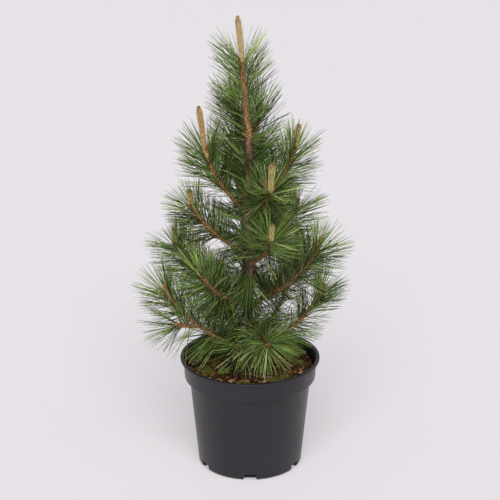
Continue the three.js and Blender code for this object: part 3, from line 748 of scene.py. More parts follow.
# How needles are kept clear: the shares of their length that are tested, the gaps that they leave,
# what each try leaves of their length, and the least share of it that is kept
NEEDLE_PROBES = np.array([0.2, 0.35, 0.5, 0.65, 0.8, 0.9, 1.0])
LIMB_CLEARANCE = 1.2 * MM
POT_CLEARANCE = 2 * MM
SOIL_CLEARANCE = 1.5 * MM
NEEDLE_SHORTENING = 0.88
NEEDLE_SHORTEST = 0.42
LIMB_CHAINS = [shoot.line.at(np.linspace(0, BARE_SHARE, 5)) for shoot in SHOOTS]


def is_clear(points, settings):
    """Whether points are clear of the trunk, the bare boughs, the soil and the pot's wall."""
    pot, bark = settings.pine_pot, settings.pine_bark
    x, y, z = points.T
    out = np.hypot(x, y)
    outer = pot.rim_radius + POT_CLEARANCE
    clear = (z > soil_height(x, y, settings.pine_soil.roughness) + SOIL_CLEARANCE) | (out > outer)
    near_wall = (out > pot.band_foot_radius - 2 * POT_CLEARANCE) & (out < outer)
    clear &= ~(near_wall & (z < pot.height + POT_CLEARANCE))
    beside = np.interp(z, TRUNK.points[:, 2], TRUNK.points[:, 0])
    clear &= np.hypot(x - beside, y) > trunk_radius(z, bark) + LIMB_CLEARANCE
    for chain in LIMB_CHAINS:
        clear &= distance_to_chain(points, chain) > bark.bough_foot + LIMB_CLEARANCE
    return clear


def clear_lengths(roots, along, full, settings):
    """The longest that each needle can be while it stays clear, or nothing where that is too short."""
    lengths = full.copy()
    open_ones = np.arange(len(roots))
    while len(open_ones):
        reach = lengths[open_ones, None] * NEEDLE_PROBES
        probes = roots[open_ones, None] + along[open_ones, None] * reach[..., None]
        clear = is_clear(probes.reshape(-1, 3), settings).reshape(len(open_ones), -1).all(axis=1)
        open_ones = open_ones[~clear]
        lengths[open_ones] *= NEEDLE_SHORTENING
        too_short = lengths[open_ones] < NEEDLE_SHORTEST * full[open_ones]
        lengths[open_ones[too_short]] = 0
        open_ones = open_ones[~too_short]
    return lengths


# Needles: shares of the length where the width is set, and the width there
NEEDLE_ROWS = np.array([0.0, 0.3, 0.68, 0.92])
NEEDLE_GIRTHS = np.array([0.62, 1.0, 0.95, 0.55])
NEEDLE_SIDES = 3
# How needles vary: length as a share, then turn and lean at the foot and the tip in degrees
LENGTH_JITTER = 0.09
TURN_JITTER = 20
LEAN_JITTER = 8
TIP_LEAN_JITTER = 10
# A pair's arch and sway as shares of the bend, and its spread and lengths as shares of the usual
ARCH_RANGE = (-0.2, 1.2)
SWAY_RANGE = (-0.4, 0.4)
SPREAD_RANGE = (0.35, 1.6)
PAIR_LENGTHS = (0.96, 1.0)
# How far a side of a stem turns to its open side where its needles thin out
OPENS_AT = 0.3
OPEN_AT = 0.8
# Points along a needle at which its line of sight is tested
SIGHT_PROBES = 16
# Sheaths: lengths as shares of the usual, radius in needle widths, shares of it at the foot and the
# mouth, and how far the two ends are domed in millimetres
SHEATH_LENGTHS = (0.7, 1.15)
SHEATH_RADIUS = 0.58
SHEATH_TAPER = (1.05, 0.8)
SHEATH_FOOT_DOME = 0.3
SHEATH_MOUTH_DOME = 0.2
# Freshness from 0 to 1: at a stem's foot, what its tip adds, and how much a shoot's own counts, whose
# negative values give the shoots in shade deeper needles as painted shade
FOOT_FRESHNESS = 0.2
TIP_FRESHNESS = 0.5
OWN_FRESHNESS_AND_LIGHT = 0.45
# How likely each shade is on an old and on a fresh stretch of stem; the deep needles stand partly for
# painted shade and the pale ones partly for painted highlights
SHADES = {
    "deep": (0.66, 0.16), "mid": (0.14, 0.26), "fresh": (0.04, 0.42), "pale": (0.05, 0.10),
    "blue": (0.11, 0.06),
}


def add_needle(heap, roots, along, outer, lengths, arch, width, thickness):
    """Half-round needles whose flat sides face away from outer, curving by arch at their tips."""
    outer = unit(outer - along * np.sum(outer * along, axis=1, keepdims=True))
    across = np.cross(outer, along)
    shares = NEEDLE_ROWS[None, :, None]
    reach = along[:, None] * lengths[:, None, None]
    centres = roots[:, None] + reach * shares + arch[:, None] * shares**2
    girth = NEEDLE_GIRTHS[None, :, None]
    add_spindles(
        heap, centres, across[:, None] * girth * width / 2, outer[:, None] * girth * thickness / 2,
        roots, roots + along * lengths[:, None] + arch, NEEDLE_SIDES, start=0.75,
    )


class NeedleStem:
    """A stretch of stem that bears needles, and how they grow on it."""

    def __init__(self, line, side, start, end, radius, habit=USUAL_HABIT, lean=None):
        self.line, self.side = line, side
        self.start, self.end = start, end
        self.radius = radius
        self.habit = habit
        self.lean = [math.radians(degrees) for degrees in lean or (habit.lean, habit.lean)]


def even_radius(radius):
    """The radius of a stem that is as thick all along, as a function of shares."""
    return lambda shares: np.full(len(shares), radius)


def shoot_radius(shoot, bark):
    """The radius of a bough with its shoot, as a function of shares of its length."""
    def radius(shares):
        bare = mix(bark.bough_foot, bark.bough_neck, shares / BARE_SHARE) * shoot.girth
        needled = mix(bark.shoot_foot, bark.shoot_tip, (shares - BARE_SHARE) / (1 - BARE_SHARE))
        blend = np.clip((shares - BARE_SHARE) / NEEDLED_OVER + 0.5, 0, 1)
        return mix(bare, np.minimum(needled, bare * NEEDLED_GAIN), blend) * bark.limb_girth
    return radius


def leader_radius(bark):
    """The trunk's radius as a function of shares of its length."""
    def radius(shares):
        heights = TRUNK.at(shares)[:, 2]
        slimming = np.clip((heights - SLIM_FROM * MM) / (SLIM_BY * MM - SLIM_FROM * MM), 0, 1)
        return trunk_radius(heights, bark) * mix(TRUNK_GIRTH, LEADER_GIRTH, slimming)
    return radius


def needle_stems(settings):
    """Every stem with needles: the shoots and side twigs, the leader and parts of the trunk."""
    bark, needles = settings.pine_bark, settings.pine_needles
    stems = []
    for shoot in SHOOTS:
        usual = BACK_HABIT if "back" in shoot.name else USUAL_HABIT
        habit = SHOOT_HABITS.get(shoot.name, usual)
        end = 1 - SLEEVE_BARE * CANDLE_SLEEVES.get(shoot.name, 0) * MM / shoot.line.length
        radius = shoot_radius(shoot, bark)
        stems.append(NeedleStem(shoot.line, shoot.side, habit.starts, end, radius, habit))
        for line, side in shoot.twigs:
            stems.append(NeedleStem(line, side, TWIG_BARE_SHARE, 1.0, even_radius(bark.twig)))
    start, end = trunk_share(LEADER_NEEDLES_FOOT), trunk_share(LEADER_NEEDLES_TOP)
    radius = leader_radius(bark)
    stems.append(NeedleStem(TRUNK, FRONT, start, end, radius, LEADER_HABIT, LEADER_LEAN))
    usual_foot, usual_tip = math.degrees(needles.lean_foot), math.degrees(needles.lean_tip)
    for low, high, crowding, openness, lean_foot, lean_tip, freshness in TRUNK_NEEDLES:
        lean = (lean_foot - usual_foot, lean_tip - usual_tip)
        start, end = trunk_share(low), trunk_share(high)
        habit = Habit(crowding, 0, freshness, openness)
        stems.append(NeedleStem(TRUNK, FRONT, start, end, radius, habit, lean))
    return stems


def grow_needles(context):
    settings = context.scene
    needles = settings.pine_needles
    random = np.random.default_rng(SEEDS["needles"])
    heaps = {shade: Heap() for shade in SHADES}
    sheaths = Heap()
    for stem in needle_stems(settings):
        grow_pairs(heaps, sheaths, stem, settings, random)
    for shade, heap in heaps.items():
        material = needle_material(f"needle {shade}", getattr(needles, shade))
        heap.piece(f"needles_{shade}", material, "needles", FOLIAGE_NODES, smooth=False)
    material = shaded_material("needle sheath", "sheath", needles.sheath_colour, 0.5)
    sheaths.piece("needle_sheaths", material, "needles", FOLIAGE_NODES)


def shade_weights(along, freshness):
    """How likely each shade is on a stem: fresher towards its tip and on a fresh shoot, and deeper on
    a shoot that is given painted shade.
    """
    fresh = np.clip(FOOT_FRESHNESS + TIP_FRESHNESS * along + OWN_FRESHNESS_AND_LIGHT * freshness, 0, 1)
    weights = np.stack([mix(old, young, fresh) for old, young in SHADES.values()], axis=1)
    return weights / weights.sum(axis=1, keepdims=True)


def camera_place(stage):
    """Where the camera stands."""
    back = np.array([0, -math.cos(stage.pitch), math.sin(stage.pitch)])
    return np.array([0, 0, stage.aim]) + back * stage.distance


def crosses_sky_gap(roots, along, lengths, stage, random):
    """Whether each needle crosses one of the places where sky shows through the crown."""
    eye = camera_place(stage)
    shares = np.linspace(0, 1, SIGHT_PROBES)
    probes = roots[:, None] + along[:, None] * (lengths[:, None] * shares)[..., None] - eye
    crossing = np.zeros(len(roots), bool)
    chance = random.uniform(0, 1, len(roots))
    in_front = probes[..., 1] + eye[1] < 0
    anywhere = np.ones_like(in_front)
    kinds = [
        (SKY_GAPS, GAP_STRAYS, anywhere),
        (THIN_PLACES, THIN_STRAYS, anywhere),
        (BARK_SHOWS, 0, in_front),
    ]
    for places, strays, counts in kinds:
        for x, z, radius in places:
            sight = unit(np.array([x, 0, z]) * MM - eye)
            aside = np.linalg.norm(np.cross(probes, sight), axis=-1)
            crossing |= (counts & (aside < radius * MM)).any(axis=1) & (chance > strays)
    return crossing


def pair_axes(stem, needles, places, random):
    """The way that each pair points from its stem."""
    _, tangents, outwards, along = places
    jitter = np.radians(mix(LEAN_JITTER, TIP_LEAN_JITTER, along))
    jitter = jitter * random.uniform(-1, 1, len(along))
    lean_foot, lean_tip = needles.lean_foot + stem.lean[0], needles.lean_tip + stem.lean[1]
    lean = mix(lean_foot, lean_tip, along) + jitter - needles.sweep * outwards[:, 2]
    return tangents * np.cos(lean)[:, None] + outwards * np.sin(lean)[:, None]


def kept_pairs(habit, roots, outwards, axis, lengths, settings, random):
    """Which pairs stay: those with room, off the open side and clear of the sky that shows."""
    facing = outwards @ np.array(OPEN_SIDES[habit.open_to])
    open_side = np.clip((facing - OPENS_AT) / (OPEN_AT - OPENS_AT), 0, 1)
    missing = settings.pine_needles.thinning * habit.openness * open_side
    kept = (lengths > 0) & (random.uniform(0, 1, len(roots)) > missing)
    return kept & ~crosses_sky_gap(roots, axis, lengths, settings.pine_stage, random)


def grow_pairs(heaps, sheaths, stem, settings, random):
    """Pairs of needles in their sheaths along a stem."""
    habit, needles = stem.habit, settings.pine_needles
    spacing = needles.spacing / habit.crowding
    places = stem_places(
        stem.line, stem.side, stem.start, stem.end, stem.radius, spacing, random, TURN_JITTER
    )
    axis = pair_axes(stem, needles, places, random)
    roots, tangents, outwards, along = places
    growth = 1 + LENGTH_JITTER * random.uniform(-1, 1, len(roots))
    lengths = clear_lengths(roots, axis, habit.growth * needles.length * growth, settings)
    kept = kept_pairs(habit, roots, outwards, axis, lengths, settings, random)
    number = int(kept.sum())
    if number == 0:
        return
    roots, tangents, axis, lengths, along = (
        values[kept] for values in (roots, tangents, axis, lengths, along)
    )
    roll = random.uniform(0, np.pi, number)[:, None]
    first = unit(np.cross(axis, tangents))
    apart = first * np.cos(roll) + np.cross(axis, first) * np.sin(roll)
    forward = tangents - axis * np.sum(tangents * axis, axis=1, keepdims=True)
    arch = forward * (needles.bend * random.uniform(*ARCH_RANGE, number))[:, None]
    pick = random.uniform(0, 1, number)[:, None]
    shade = (pick > np.cumsum(shade_weights(along, habit.freshness), axis=1)).sum(axis=1)
    for hand in (-1, 1):
        spread = (needles.spread * random.uniform(*SPREAD_RANGE, number))[:, None]
        needle = unit(axis * np.cos(spread) + hand * apart * np.sin(spread))
        sway = (needles.bend * random.uniform(*SWAY_RANGE, number))[:, None]
        curve = arch + np.cross(axis, forward) * sway
        reach = lengths * random.uniform(*PAIR_LENGTHS, number)
        for k, heap in enumerate(heaps.values()):
            own = shade == k
            if own.any():
                add_needle(
                    heap, roots[own], needle[own], hand * apart[own], reach[own], curve[own],
                    needles.width, needles.thickness,
                )
    add_sheaths(sheaths, roots, axis, apart, needles, random)


def add_sheaths(heap, roots, axis, apart, needles, random):
    """Short tapering sheaths round the feet of the pairs."""
    length = (needles.sheath * random.uniform(*SHEATH_LENGTHS, len(roots)))[:, None, None]
    apart = unit(apart - axis * np.sum(apart * axis, axis=1, keepdims=True))
    shares = np.array([0.0, 1.0])[None, :, None]
    girth = np.array(SHEATH_TAPER)[None, :, None] * needles.width * SHEATH_RADIUS
    centres = roots[:, None] + axis[:, None] * length * shares
    add_spindles(
        heap, centres, apart[:, None] * girth, np.cross(axis, apart)[:, None] * girth,
        roots - axis * SHEATH_FOOT_DOME * MM, centres[:, -1] + axis * SHEATH_MOUTH_DOME * MM, 4,
    )


# Facets round each kind of stem, and how the trunk's and leader's bark differ from the boughs'
TRUNK_SIDES = 28
LEADER_SIDES = 24
BOUGH_SIDES = 18
TWIG_SIDES = 14
TRUNK_RELIEF = 1.3
LEADER_BASE_SPACING = 0.8
LEADER_BASE_WIDENING = 1.1
# How far below the leader's needles its bases start, and above its candle's foot its bark ends
LEADER_BASES_BELOW = 6
LEADER_BARK_ABOVE = 2
# Where needle bases start, as shares of a bough and of a twig
BASES_FROM = 0.05
TWIG_BASES_FROM = 0.1


def grow_trunk(context):
    bark = context.scene.pine_bark
    random = np.random.default_rng(SEEDS["trunk"])
    old, young, bases = Heap(), Heap(), Heap()
    join, end = trunk_share(OLD_BARK_TOP), trunk_share(CANDLE_FOOT + LEADER_BARK_ABOVE)
    radius = leader_radius(bark)
    relief = bark.relief * TRUNK_RELIEF
    add_bark_tube(old, TRUNK, FRONT, 0, join, radius, TRUNK_SIDES, relief, random)
    add_bark_tube(young, TRUNK, FRONT, join, end, radius, LEADER_SIDES, bark.relief, random)
    old.piece("trunk_bark", old_bark_material(bark), "bark", ["trunk"])
    young.piece("leader_bark", young_bark_material(bark), "bark", ["trunk"])
    start = trunk_share(LEADER_NEEDLES_FOOT - LEADER_BASES_BELOW)
    spacing = bark.base_spacing * LEADER_BASE_SPACING
    places = stem_places(TRUNK, FRONT, start, end, radius, spacing, random)
    add_needle_bases(bases, places, bark, random, LEADER_BASE_WIDENING)
    material = base_material("leader", bark.leader_base_light, bark.leader_base_dark)
    bases.piece("leader_needle_bases", material, "bark", ["trunk"])


def grow_boughs(context):
    bark = context.scene.pine_bark
    random = np.random.default_rng(SEEDS["boughs"])
    heap, upper, lower = Heap(), Heap(), Heap()
    for shoot in SHOOTS:
        bases = lower if shoot.name.startswith(LOWER_WHORLS) else upper
        radius = shoot_radius(shoot, bark)
        add_bark_tube(
            heap, shoot.line, shoot.side, 0, 1, radius, BOUGH_SIDES, bark.relief, random
        )
        places = stem_places(
            shoot.line, shoot.side, BASES_FROM, 1, radius, bark.base_spacing, random
        )
        add_needle_bases(bases, places, bark, random)
        for line, side in shoot.twigs:
            twig = even_radius(bark.twig)
            add_bark_tube(heap, line, side, 0, 1, twig, TWIG_SIDES, bark.relief, random)
            places = stem_places(
                line, side, TWIG_BASES_FROM, 1, twig, bark.base_spacing, random
            )
            add_needle_bases(bases, places, bark, random, lift=TWIG_BASE_LIFT)
    nodes = BOUGH_NODES + FOLIAGE_NODES
    heap.piece("bough_bark", young_bark_material(bark), "bark", nodes)
    material = base_material("upper", bark.upper_base_light, bark.upper_base_dark)
    upper.piece("upper_needle_bases", material, "bark", nodes)
    material = base_material("lower", bark.base_light, bark.base_dark)
    lower.piece("lower_needle_bases", material, "bark", nodes)


# Candle core: its girth and end as shares of the candle's, the spacing of its rows, its facets, and
# how far its foot and tip are domed
CORE_GIRTH = 0.9
CORE_END = 0.985
CORE_ROW = 1.5 * MM
CORE_SIDES = 12
CORE_DOMES = (1 * MM, 0.3 * MM)
# Scales: where they root and end as shares of the candle, how much of them the next ones leave
# bare, and how far they stand off
SCALE_ROOTS = 0.92
SCALES_END = 0.97
SCALE_SHOWS = 0.46
SCALE_LIFT = 0.75 * MM
SCALE_TURN_JITTER = 3
# How scales vary as shares of the usual, where they end behind and ahead as shares of their length,
# and how high their middle and tip stand as shares of the lift
SCALE_LENGTHS = (0.85, 1.15)
SCALE_WIDTHS = (0.85, 1.1)
SCALE_BEHIND = 0.45
SCALE_AHEAD = 0.55
SCALE_MIDDLE_HEIGHT = 0.3
SCALE_TIP_HEIGHTS = (0.9, 2.0)
# How scales steepen, shorten and narrow over the candle's tip
TIP_STEEPNESS = 1.1
TIP_SCALE_LENGTH = 0.62
TIP_SCALE_WIDTH = 0.7
# Brown tips: length in millimetres, and the most of a candle or of a bud that they cover
BROWN_TIPS = {"straw": 3.5, "tan": 3.5, "olive": 3, "bud": 30}
BROWN_MOST = 0.35
BUD_BROWN_MOST = 0.9
BROWN_JITTER = 0.06


def candle_girth(share):
    """A candle's radius at shares of its length, for a full radius of one."""
    body = mix(CANDLE_FOOT_GIRTH, 1, np.minimum(1, share / CANDLE_FULL_FROM))
    beyond = np.maximum(0, (share - CANDLE_SHOULDER) / (1 - CANDLE_SHOULDER))
    return body * np.maximum(0, 1 - beyond) ** 0.5


def add_candle_core(heap, line, side, radius):
    rows = max(5, int(line.length / CORE_ROW))
    shares = np.linspace(0, CORE_END, rows)
    girth = (CORE_GIRTH * radius * candle_girth(shares))[:, None]
    add_tube(heap, frames(line, side, shares), girth, CORE_DOMES, CORE_SIDES)


def add_candle(heaps, line, side, radius, finish, candles, random):
    """A candle: a core along a line, clad in pointed scales that are brown near its tip."""
    add_candle_core(heaps["core"], line, side, radius)

    def rooting(shares):
        return SCALE_ROOTS * radius * candle_girth(shares)

    around = 2 * np.pi * radius
    spacing = SCALE_SHOWS * candles.scale_length * candles.scale_width / around
    roots, tangents, outwards, along = stem_places(
        line, side, 0.0, SCALES_END, rooting, spacing, random, SCALE_TURN_JITTER
    )
    number = len(roots)
    over = np.clip((along - CANDLE_SHOULDER) / (1 - CANDLE_SHOULDER), 0, 1)
    steep = over[:, None] * TIP_STEEPNESS
    slope = unit(tangents - outwards * steep)
    up = unit(outwards + tangents * steep)
    across = np.cross(up, slope)
    reach = candles.scale_length * random.uniform(*SCALE_LENGTHS, number)
    reach = (reach * mix(1, TIP_SCALE_LENGTH, over))[:, None]
    half = candles.scale_width / 2 * random.uniform(*SCALE_WIDTHS, number)
    half = (half * mix(1, TIP_SCALE_WIDTH, over))[:, None]
    rise = up * SCALE_LIFT
    middle = roots + rise * SCALE_MIDDLE_HEIGHT
    foot = roots - slope * reach * SCALE_BEHIND - rise
    height = random.uniform(*SCALE_TIP_HEIGHTS, number)[:, None]
    tip = roots + slope * reach * SCALE_AHEAD + rise * height
    most = BUD_BROWN_MOST if finish == "bud" else BROWN_MOST
    brown_from = 1 - min(most, BROWN_TIPS[finish] * MM / line.length)
    brown = along > brown_from + random.uniform(-BROWN_JITTER, BROWN_JITTER, number)
    body = "brown" if finish == "bud" else finish
    for heap, own in ((heaps["brown"], brown), (heaps[body], ~brown)):
        if own.any():
            add_flakes(heap, middle[own], (across * half)[own], rise[own], foot[own], tip[own])


def shoot_candle(shoot, radius):
    """The line and radius of the candle that ends a shoot."""
    tip = shoot.line.at(1.0)
    sleeve = CANDLE_SLEEVES.get(shoot.name, CANDLE_SLEEVE) * MM
    shares = 1 - np.linspace(1, 0.2, 4) * sleeve / shoot.line.length
    rise = np.linspace(0.15, 1, 5)[:, None] * shoot.candle
    line = Line([*shoot.line.at(shares), *(tip + shoot.candle_axis * rise)])
    usual = BUD_GIRTH if shoot.finish == "bud" else 1
    return line, radius * CANDLE_GIRTHS.get(shoot.name, usual)


def grow_candles(context):
    candles = context.scene.pine_candles
    random = np.random.default_rng(SEEDS["candles"])
    heaps = {name: Heap() for name in ("core", "straw", "tan", "olive", "brown")}
    foot = trunk_share(CANDLE_FOOT)
    leader = Line(TRUNK.at(np.linspace(foot, 1, 20)))
    add_candle(heaps, leader, FRONT, candles.leader_radius, "straw", candles, random)
    for shoot in SHOOTS:
        line, slim = shoot_candle(shoot, candles.radius)
        add_candle(heaps, line, shoot.side, slim, shoot.finish, candles, random)
    ends = {shoot.name: (shoot.line.at(1.0), shoot.candle_axis) for shoot in SHOOTS}
    ends["leader"] = (TRUNK.at(foot), TRUNK.direction(foot))
    for owner, azimuth, pitch, length in SIDE_BUDS:
        tip, axis = ends[owner]
        aside = heading(azimuth) * SIDE_BUD_ASIDE * MM - axis * SIDE_BUD_BELOW * MM
        add_bud(
            heaps, tip + aside, azimuth, pitch, length + SIDE_BUD_SUNK, SIDE_BUD_RADIUS, "bud",
            candles, random,
        )
    lines = {shoot.name: shoot.line for shoot in SHOOTS}
    for owner, share, azimuth, pitch, length in KNOBS:
        add_bud(
            heaps, lines[owner].at(share), azimuth, pitch, length + KNOB_SUNK, KNOB_RADIUS, "tan",
            candles, random,
        )
    for name, heap in heaps.items():
        material = shaded_material(f"candle {name}", "candle", getattr(candles, name), 0.5)
        heap.piece(f"candle_{name}", material, "needles", [*FOLIAGE_NODES, "trunk"])


def add_bud(heaps, start, azimuth, pitch, length, radius, finish, candles, random):
    """A short straight candle, with its length and radius in millimetres."""
    line = Line([start, start + heading(azimuth, pitch) * length * MM])
    add_candle(heaps, line, heading(azimuth + 90), radius * MM, finish, candles, random)


def rounded(corners, steps=5):
    """The points of an outline of (radius, height, round) corners, each rounded by a curve."""
    outline = []
    for k, (radius, height, turn) in enumerate(corners):
        here = np.array([radius, height])
        if turn == 0:
            outline.append(here)
            continue
        before, after = np.array(corners[k - 1][:2]), np.array(corners[(k + 1) % len(corners)][:2])
        back, on = unit(before - here), unit(after - here)
        half = 0.5 * math.acos(np.clip(back @ on, -1, 1))
        reach = turn / math.tan(half)
        start, end = here + back * reach, here + on * reach
        for share in np.linspace(0, 1, steps):
            outline.append((1 - share) ** 2 * start + 2 * share * (1 - share) * here + share**2 * end)
    return np.array(outline)


def turned_mesh(name, outline, sides):
    """A solid of revolution from an outline that starts and ends on the axis."""
    ring = outline[1:-1]
    wall = ring_points(ring[:, None, 0], turns(sides), ring[:, None, 1]).reshape(-1, 3)
    points = np.vstack([[[0, 0, outline[0][1]]], wall, [[0, 0, outline[-1][1]]]])
    index = 1 + np.arange(len(wall)).reshape(len(ring), sides)
    after = np.roll(index, -1, axis=1)
    quads = np.stack([index[:-1], after[:-1], after[1:], index[1:]], axis=-1).reshape(-1, 4)
    last = len(points) - 1
    faces = quads.tolist()
    faces += [[0, b, a] for a, b in zip(index[0], after[0])]
    faces += [[a, b, last] for a, b in zip(index[-1], after[-1])]
    mesh = bpy.data.meshes.new(name)
    mesh.from_pydata(points.tolist(), [], faces)
    return mesh


# The pot's roundings and small steps
LIP_ROUND = 0.9 * MM
FOOT_CHAMFER = 3 * MM
SLOT_FLARE = 1.5 * MM
SLOT_PINCH = -0.6 * MM
CREASE_ANGLE = 38


def build_pot(context):
    pot = context.scene.pine_pot
    lip_foot = pot.height - pot.lip
    inner_foot = pot.band_foot + pot.wall
    corners = [
        (0, 0, 0),
        (pot.foot_radius - FOOT_CHAMFER, 0, 0.8 * MM),
        (pot.foot_radius, FOOT_CHAMFER, 1.4 * MM),
        (pot.neck_radius, pot.band_foot + 0.4 * MM, 0.3 * MM),
        (pot.band_foot_radius, pot.band_foot - pot.band_undercut, 1.1 * MM),
        (pot.band_top_radius, lip_foot - 0.4 * MM, 1.2 * MM),
        (pot.rim_radius, lip_foot, LIP_ROUND),
        (pot.rim_radius, pot.height, LIP_ROUND),
        (pot.band_top_radius - 0.4 * MM, pot.height, LIP_ROUND),
        (pot.band_top_radius - pot.wall, lip_foot - 0.5 * MM, 1 * MM),
        (pot.band_foot_radius - pot.wall, pot.band_foot + 2 * pot.wall, 1 * MM),
        (pot.neck_radius - pot.wall, inner_foot, 0.6 * MM),
        (pot.foot_radius - pot.wall, pot.base, 1 * MM),
        (0, pot.base, 0),
    ]
    mesh = turned_mesh("pot_shell", rounded(corners), pot.sides)
    shell = place_piece("pot_shell", mesh, pot_material(pot), ["pot"])
    made = cut_slots(shell, pot)
    for face in made.polygons:
        face.use_smooth = True
    made.set_sharp_from_angle(angle=math.radians(CREASE_ANGLE))
    if len(made.polygons) < pot.sides:
        raise RuntimeError("the pot's slots could not be cut")


def cut_slots(shell, pot):
    """Cuts the slots out of the shell, and returns its new mesh."""
    cutter = add_object("slot_cutters", slot_cutters(pot))
    cut = shell.modifiers.new("Slots", "BOOLEAN")
    cut.operation = "DIFFERENCE"
    cut.solver = "EXACT"
    cut.object = cutter
    depsgraph = bpy.context.evaluated_depsgraph_get()
    made = bpy.data.meshes.new_from_object(shell.evaluated_get(depsgraph))
    shell.modifiers.remove(cut)
    shell.data = made
    bpy.data.objects.remove(cutter)
    return made


def slot_cutters(pot):
    """Boxes with sloping sides that cut the slots in the foot's corner."""
    points, faces = [], []
    box = [(0, 1, 3, 2), (4, 6, 7, 5), (0, 4, 5, 1), (2, 3, 7, 6), (0, 2, 6, 4), (1, 5, 7, 3)]
    for k in range(DRAIN_SLOTS):
        turn = Matrix.Rotation(-math.pi / 2 + k * 2 * math.pi / DRAIN_SLOTS, 3, "Z")
        for x in (pot.slot_inner_radius, pot.neck_radius):
            for y in (-1, 1):
                for z, widen in ((-pot.slot_height, SLOT_FLARE), (pot.slot_height, SLOT_PINCH)):
                    points.append(turn @ Vector((x, y * (pot.slot_width / 2 + widen), z)))
        faces += [[8 * k + i for i in face] for face in box]
    mesh = bpy.data.meshes.new("slot_cutters")
    mesh.from_pydata(points, [], faces)
    return mesh


# Soil in the pot: its gaps to the wall, the drop at its edge, and how finely it is divided
SOIL_INSET = 2.4 * MM
SOIL_FLOOR_GAP = 0.3 * MM
SOIL_EDGE_DROP = 3 * MM
SOIL_DROP_FROM = 0.93
SOIL_RINGS = 96
SOIL_SECTORS = 300
# Where its first ring is, how the rings crowd towards the wall, the lumps and grains across and
# round it, their shares of the crumb's height, and how far they are sunk
SOIL_FIRST_RING = 0.006
SOIL_RING_EASE = 0.8
LUMP_CELLS = (24, 70)
GRAIN_CELLS = (60, 150)
LUMP_SHARE = 0.75
GRAIN_SHARE = 0.5
CRUMB_SUNK = 0.35
# Shares of the soil's area between which things are scattered
SCATTER_RANGE = (0.03, 0.93)
# Moss: x, y and radius in millimetres, share of the leaves, whether they are bright
MOSS_PATCHES = [
    (-35, -27, 8, 0.09, True), (-37, -20, 6, 0.04, True),
    (-72, 14, 13, 0.10, False), (-60, -20, 16, 0.11, False), (41, -42, 15, 0.12, False),
    (58, 34, 15, 0.08, False), (30, -50, 9, 0.06, False), (-20, 52, 22, 0.08, False),
    (15, 66, 14, 0.05, True), (-50, 48, 15, 0.06, False), (66, 0, 12, 0.05, False),
    (-8, -66, 14, 0.05, False), (-48, 2, 10, 0.05, False),
]
# Moss cushions: their height, how deep the leaves root, and their edge as a share of the radius
MOSS_DOME = 2.6 * MM
MOSS_DEPTH = 1.2 * MM
MOSS_EDGE = 1.15
# Moss leaves: length and half width in millimetres, where they are widest as a share of the
# length, and thickness as a share of the width
MOSS_LENGTHS = (2.2, 4.6)
MOSS_HALF_WIDTHS = (0.22, 0.45)
MOSS_WIDEST = 0.45
MOSS_FLATNESS = 0.4
# Bark chips: the share of each kind
CHIP_KINDS = {"rust": 0.26, "dark": 0.62, "pale": 0.12}
# A chip's rings as shares of its length, and how wide it is there
CHIP_RINGS = np.array([-0.46, -0.2, 0.2, 0.46])
CHIP_TAPER = np.array([0.7, 1, 1, 0.7])
# Chips and crumbs: lengths and a chip's thickness in millimetres, widths and a crumb's thickness as
# shares of the length, and how far they tilt in radians
CHIP_SHORTEST = 1.5
CHIP_WIDTHS = (0.3, 0.7)
CHIP_THICKNESSES = (0.8, 2.2)
CHIP_TILT = 0.34
CRUMB_LENGTHS = (1.2, 3.4)
CRUMB_WIDTHS = (0.6, 1)
CRUMB_THICKNESS = 0.7
CRUMB_TILT = 0.5
# How thick the large chips in front are, and how steep they lie
FRONT_CHIP_THICKNESS = 2 * MM
FRONT_CHIP_TILT = 0.12
# The large chips in front: x, y, length and width in millimetres, turn in degrees
FRONT_CHIPS = [
    (-26, -47, 11, 8, 20), (-5, -58, 9, 5, -15), (17, -58, 12, 4.5, 8), (68, -25, 9, 5, 35),
    (45, -55, 6, 4, 60),
]
# Fallen needles: how far from the wall and how high over the soil they lie, then their lengths and
# the most that they arch in millimetres, and their width as a share of the usual
FALLEN_INSET = 22 * MM
FALLEN_HEIGHT = 2.2 * MM
FALLEN_LENGTHS = (18, 40)
FALLEN_ARCH = 4
FALLEN_WIDTH = 0.8


def soil_edge(pot):
    return pot.band_foot_radius - SOIL_INSET


def on_soil(x, y, soil, height):
    """Places at a height over the soil."""
    return np.stack([x, y, soil_height(x, y, soil.roughness) + height], axis=-1)


def build_soil(context):
    soil, pot = context.scene.pine_soil, context.scene.pine_pot
    random = np.random.default_rng(SEEDS["soil"])
    edge = soil_edge(pot)
    floor = pot.base + SOIL_FLOOR_GAP
    reach = np.linspace(SOIL_FIRST_RING, 1, SOIL_RINGS) ** SOIL_RING_EASE
    turn = turns(SOIL_SECTORS)
    x = edge * reach[:, None] * np.cos(turn)
    y = edge * reach[:, None] * np.sin(turn)
    lumps = smooth_noise(x.shape, LUMP_CELLS, random)
    grains = smooth_noise(x.shape, GRAIN_CELLS, random)
    beyond = np.clip((reach - SOIL_DROP_FROM) / (1 - SOIL_DROP_FROM), 0, 1)
    level = soil_height(x, y, soil.roughness) - SOIL_EDGE_DROP * beyond[:, None] ** 2
    z = level + soil.crumb * (LUMP_SHARE * lumps + GRAIN_SHARE * grains - CRUMB_SUNK)
    lower = [
        (edge, pot.band_foot + 3 * pot.wall),
        (pot.neck_radius - SOIL_INSET, pot.band_foot + pot.wall),
        (pot.foot_radius - SOIL_INSET, 4 * pot.slot_height),
        (pot.slot_inner_radius, pot.slot_height),
        (pot.slot_inner_radius - 2 * SOIL_INSET, floor),
    ]
    below = [ring_points(radius, turn, height)[None] for radius, height in lower]
    rings = np.concatenate([np.stack([x, y, z], axis=-1), *below])[::-1]
    points = np.vstack([[[0, 0, floor]], rings.reshape(-1, 3), [[0, 0, z[0].mean()]]])
    heap = Heap()
    heap.add(points, spindle_faces(1, len(rings), SOIL_SECTORS))
    heap.piece("soil_surface", soil_material(soil), "soil", ["soil"])


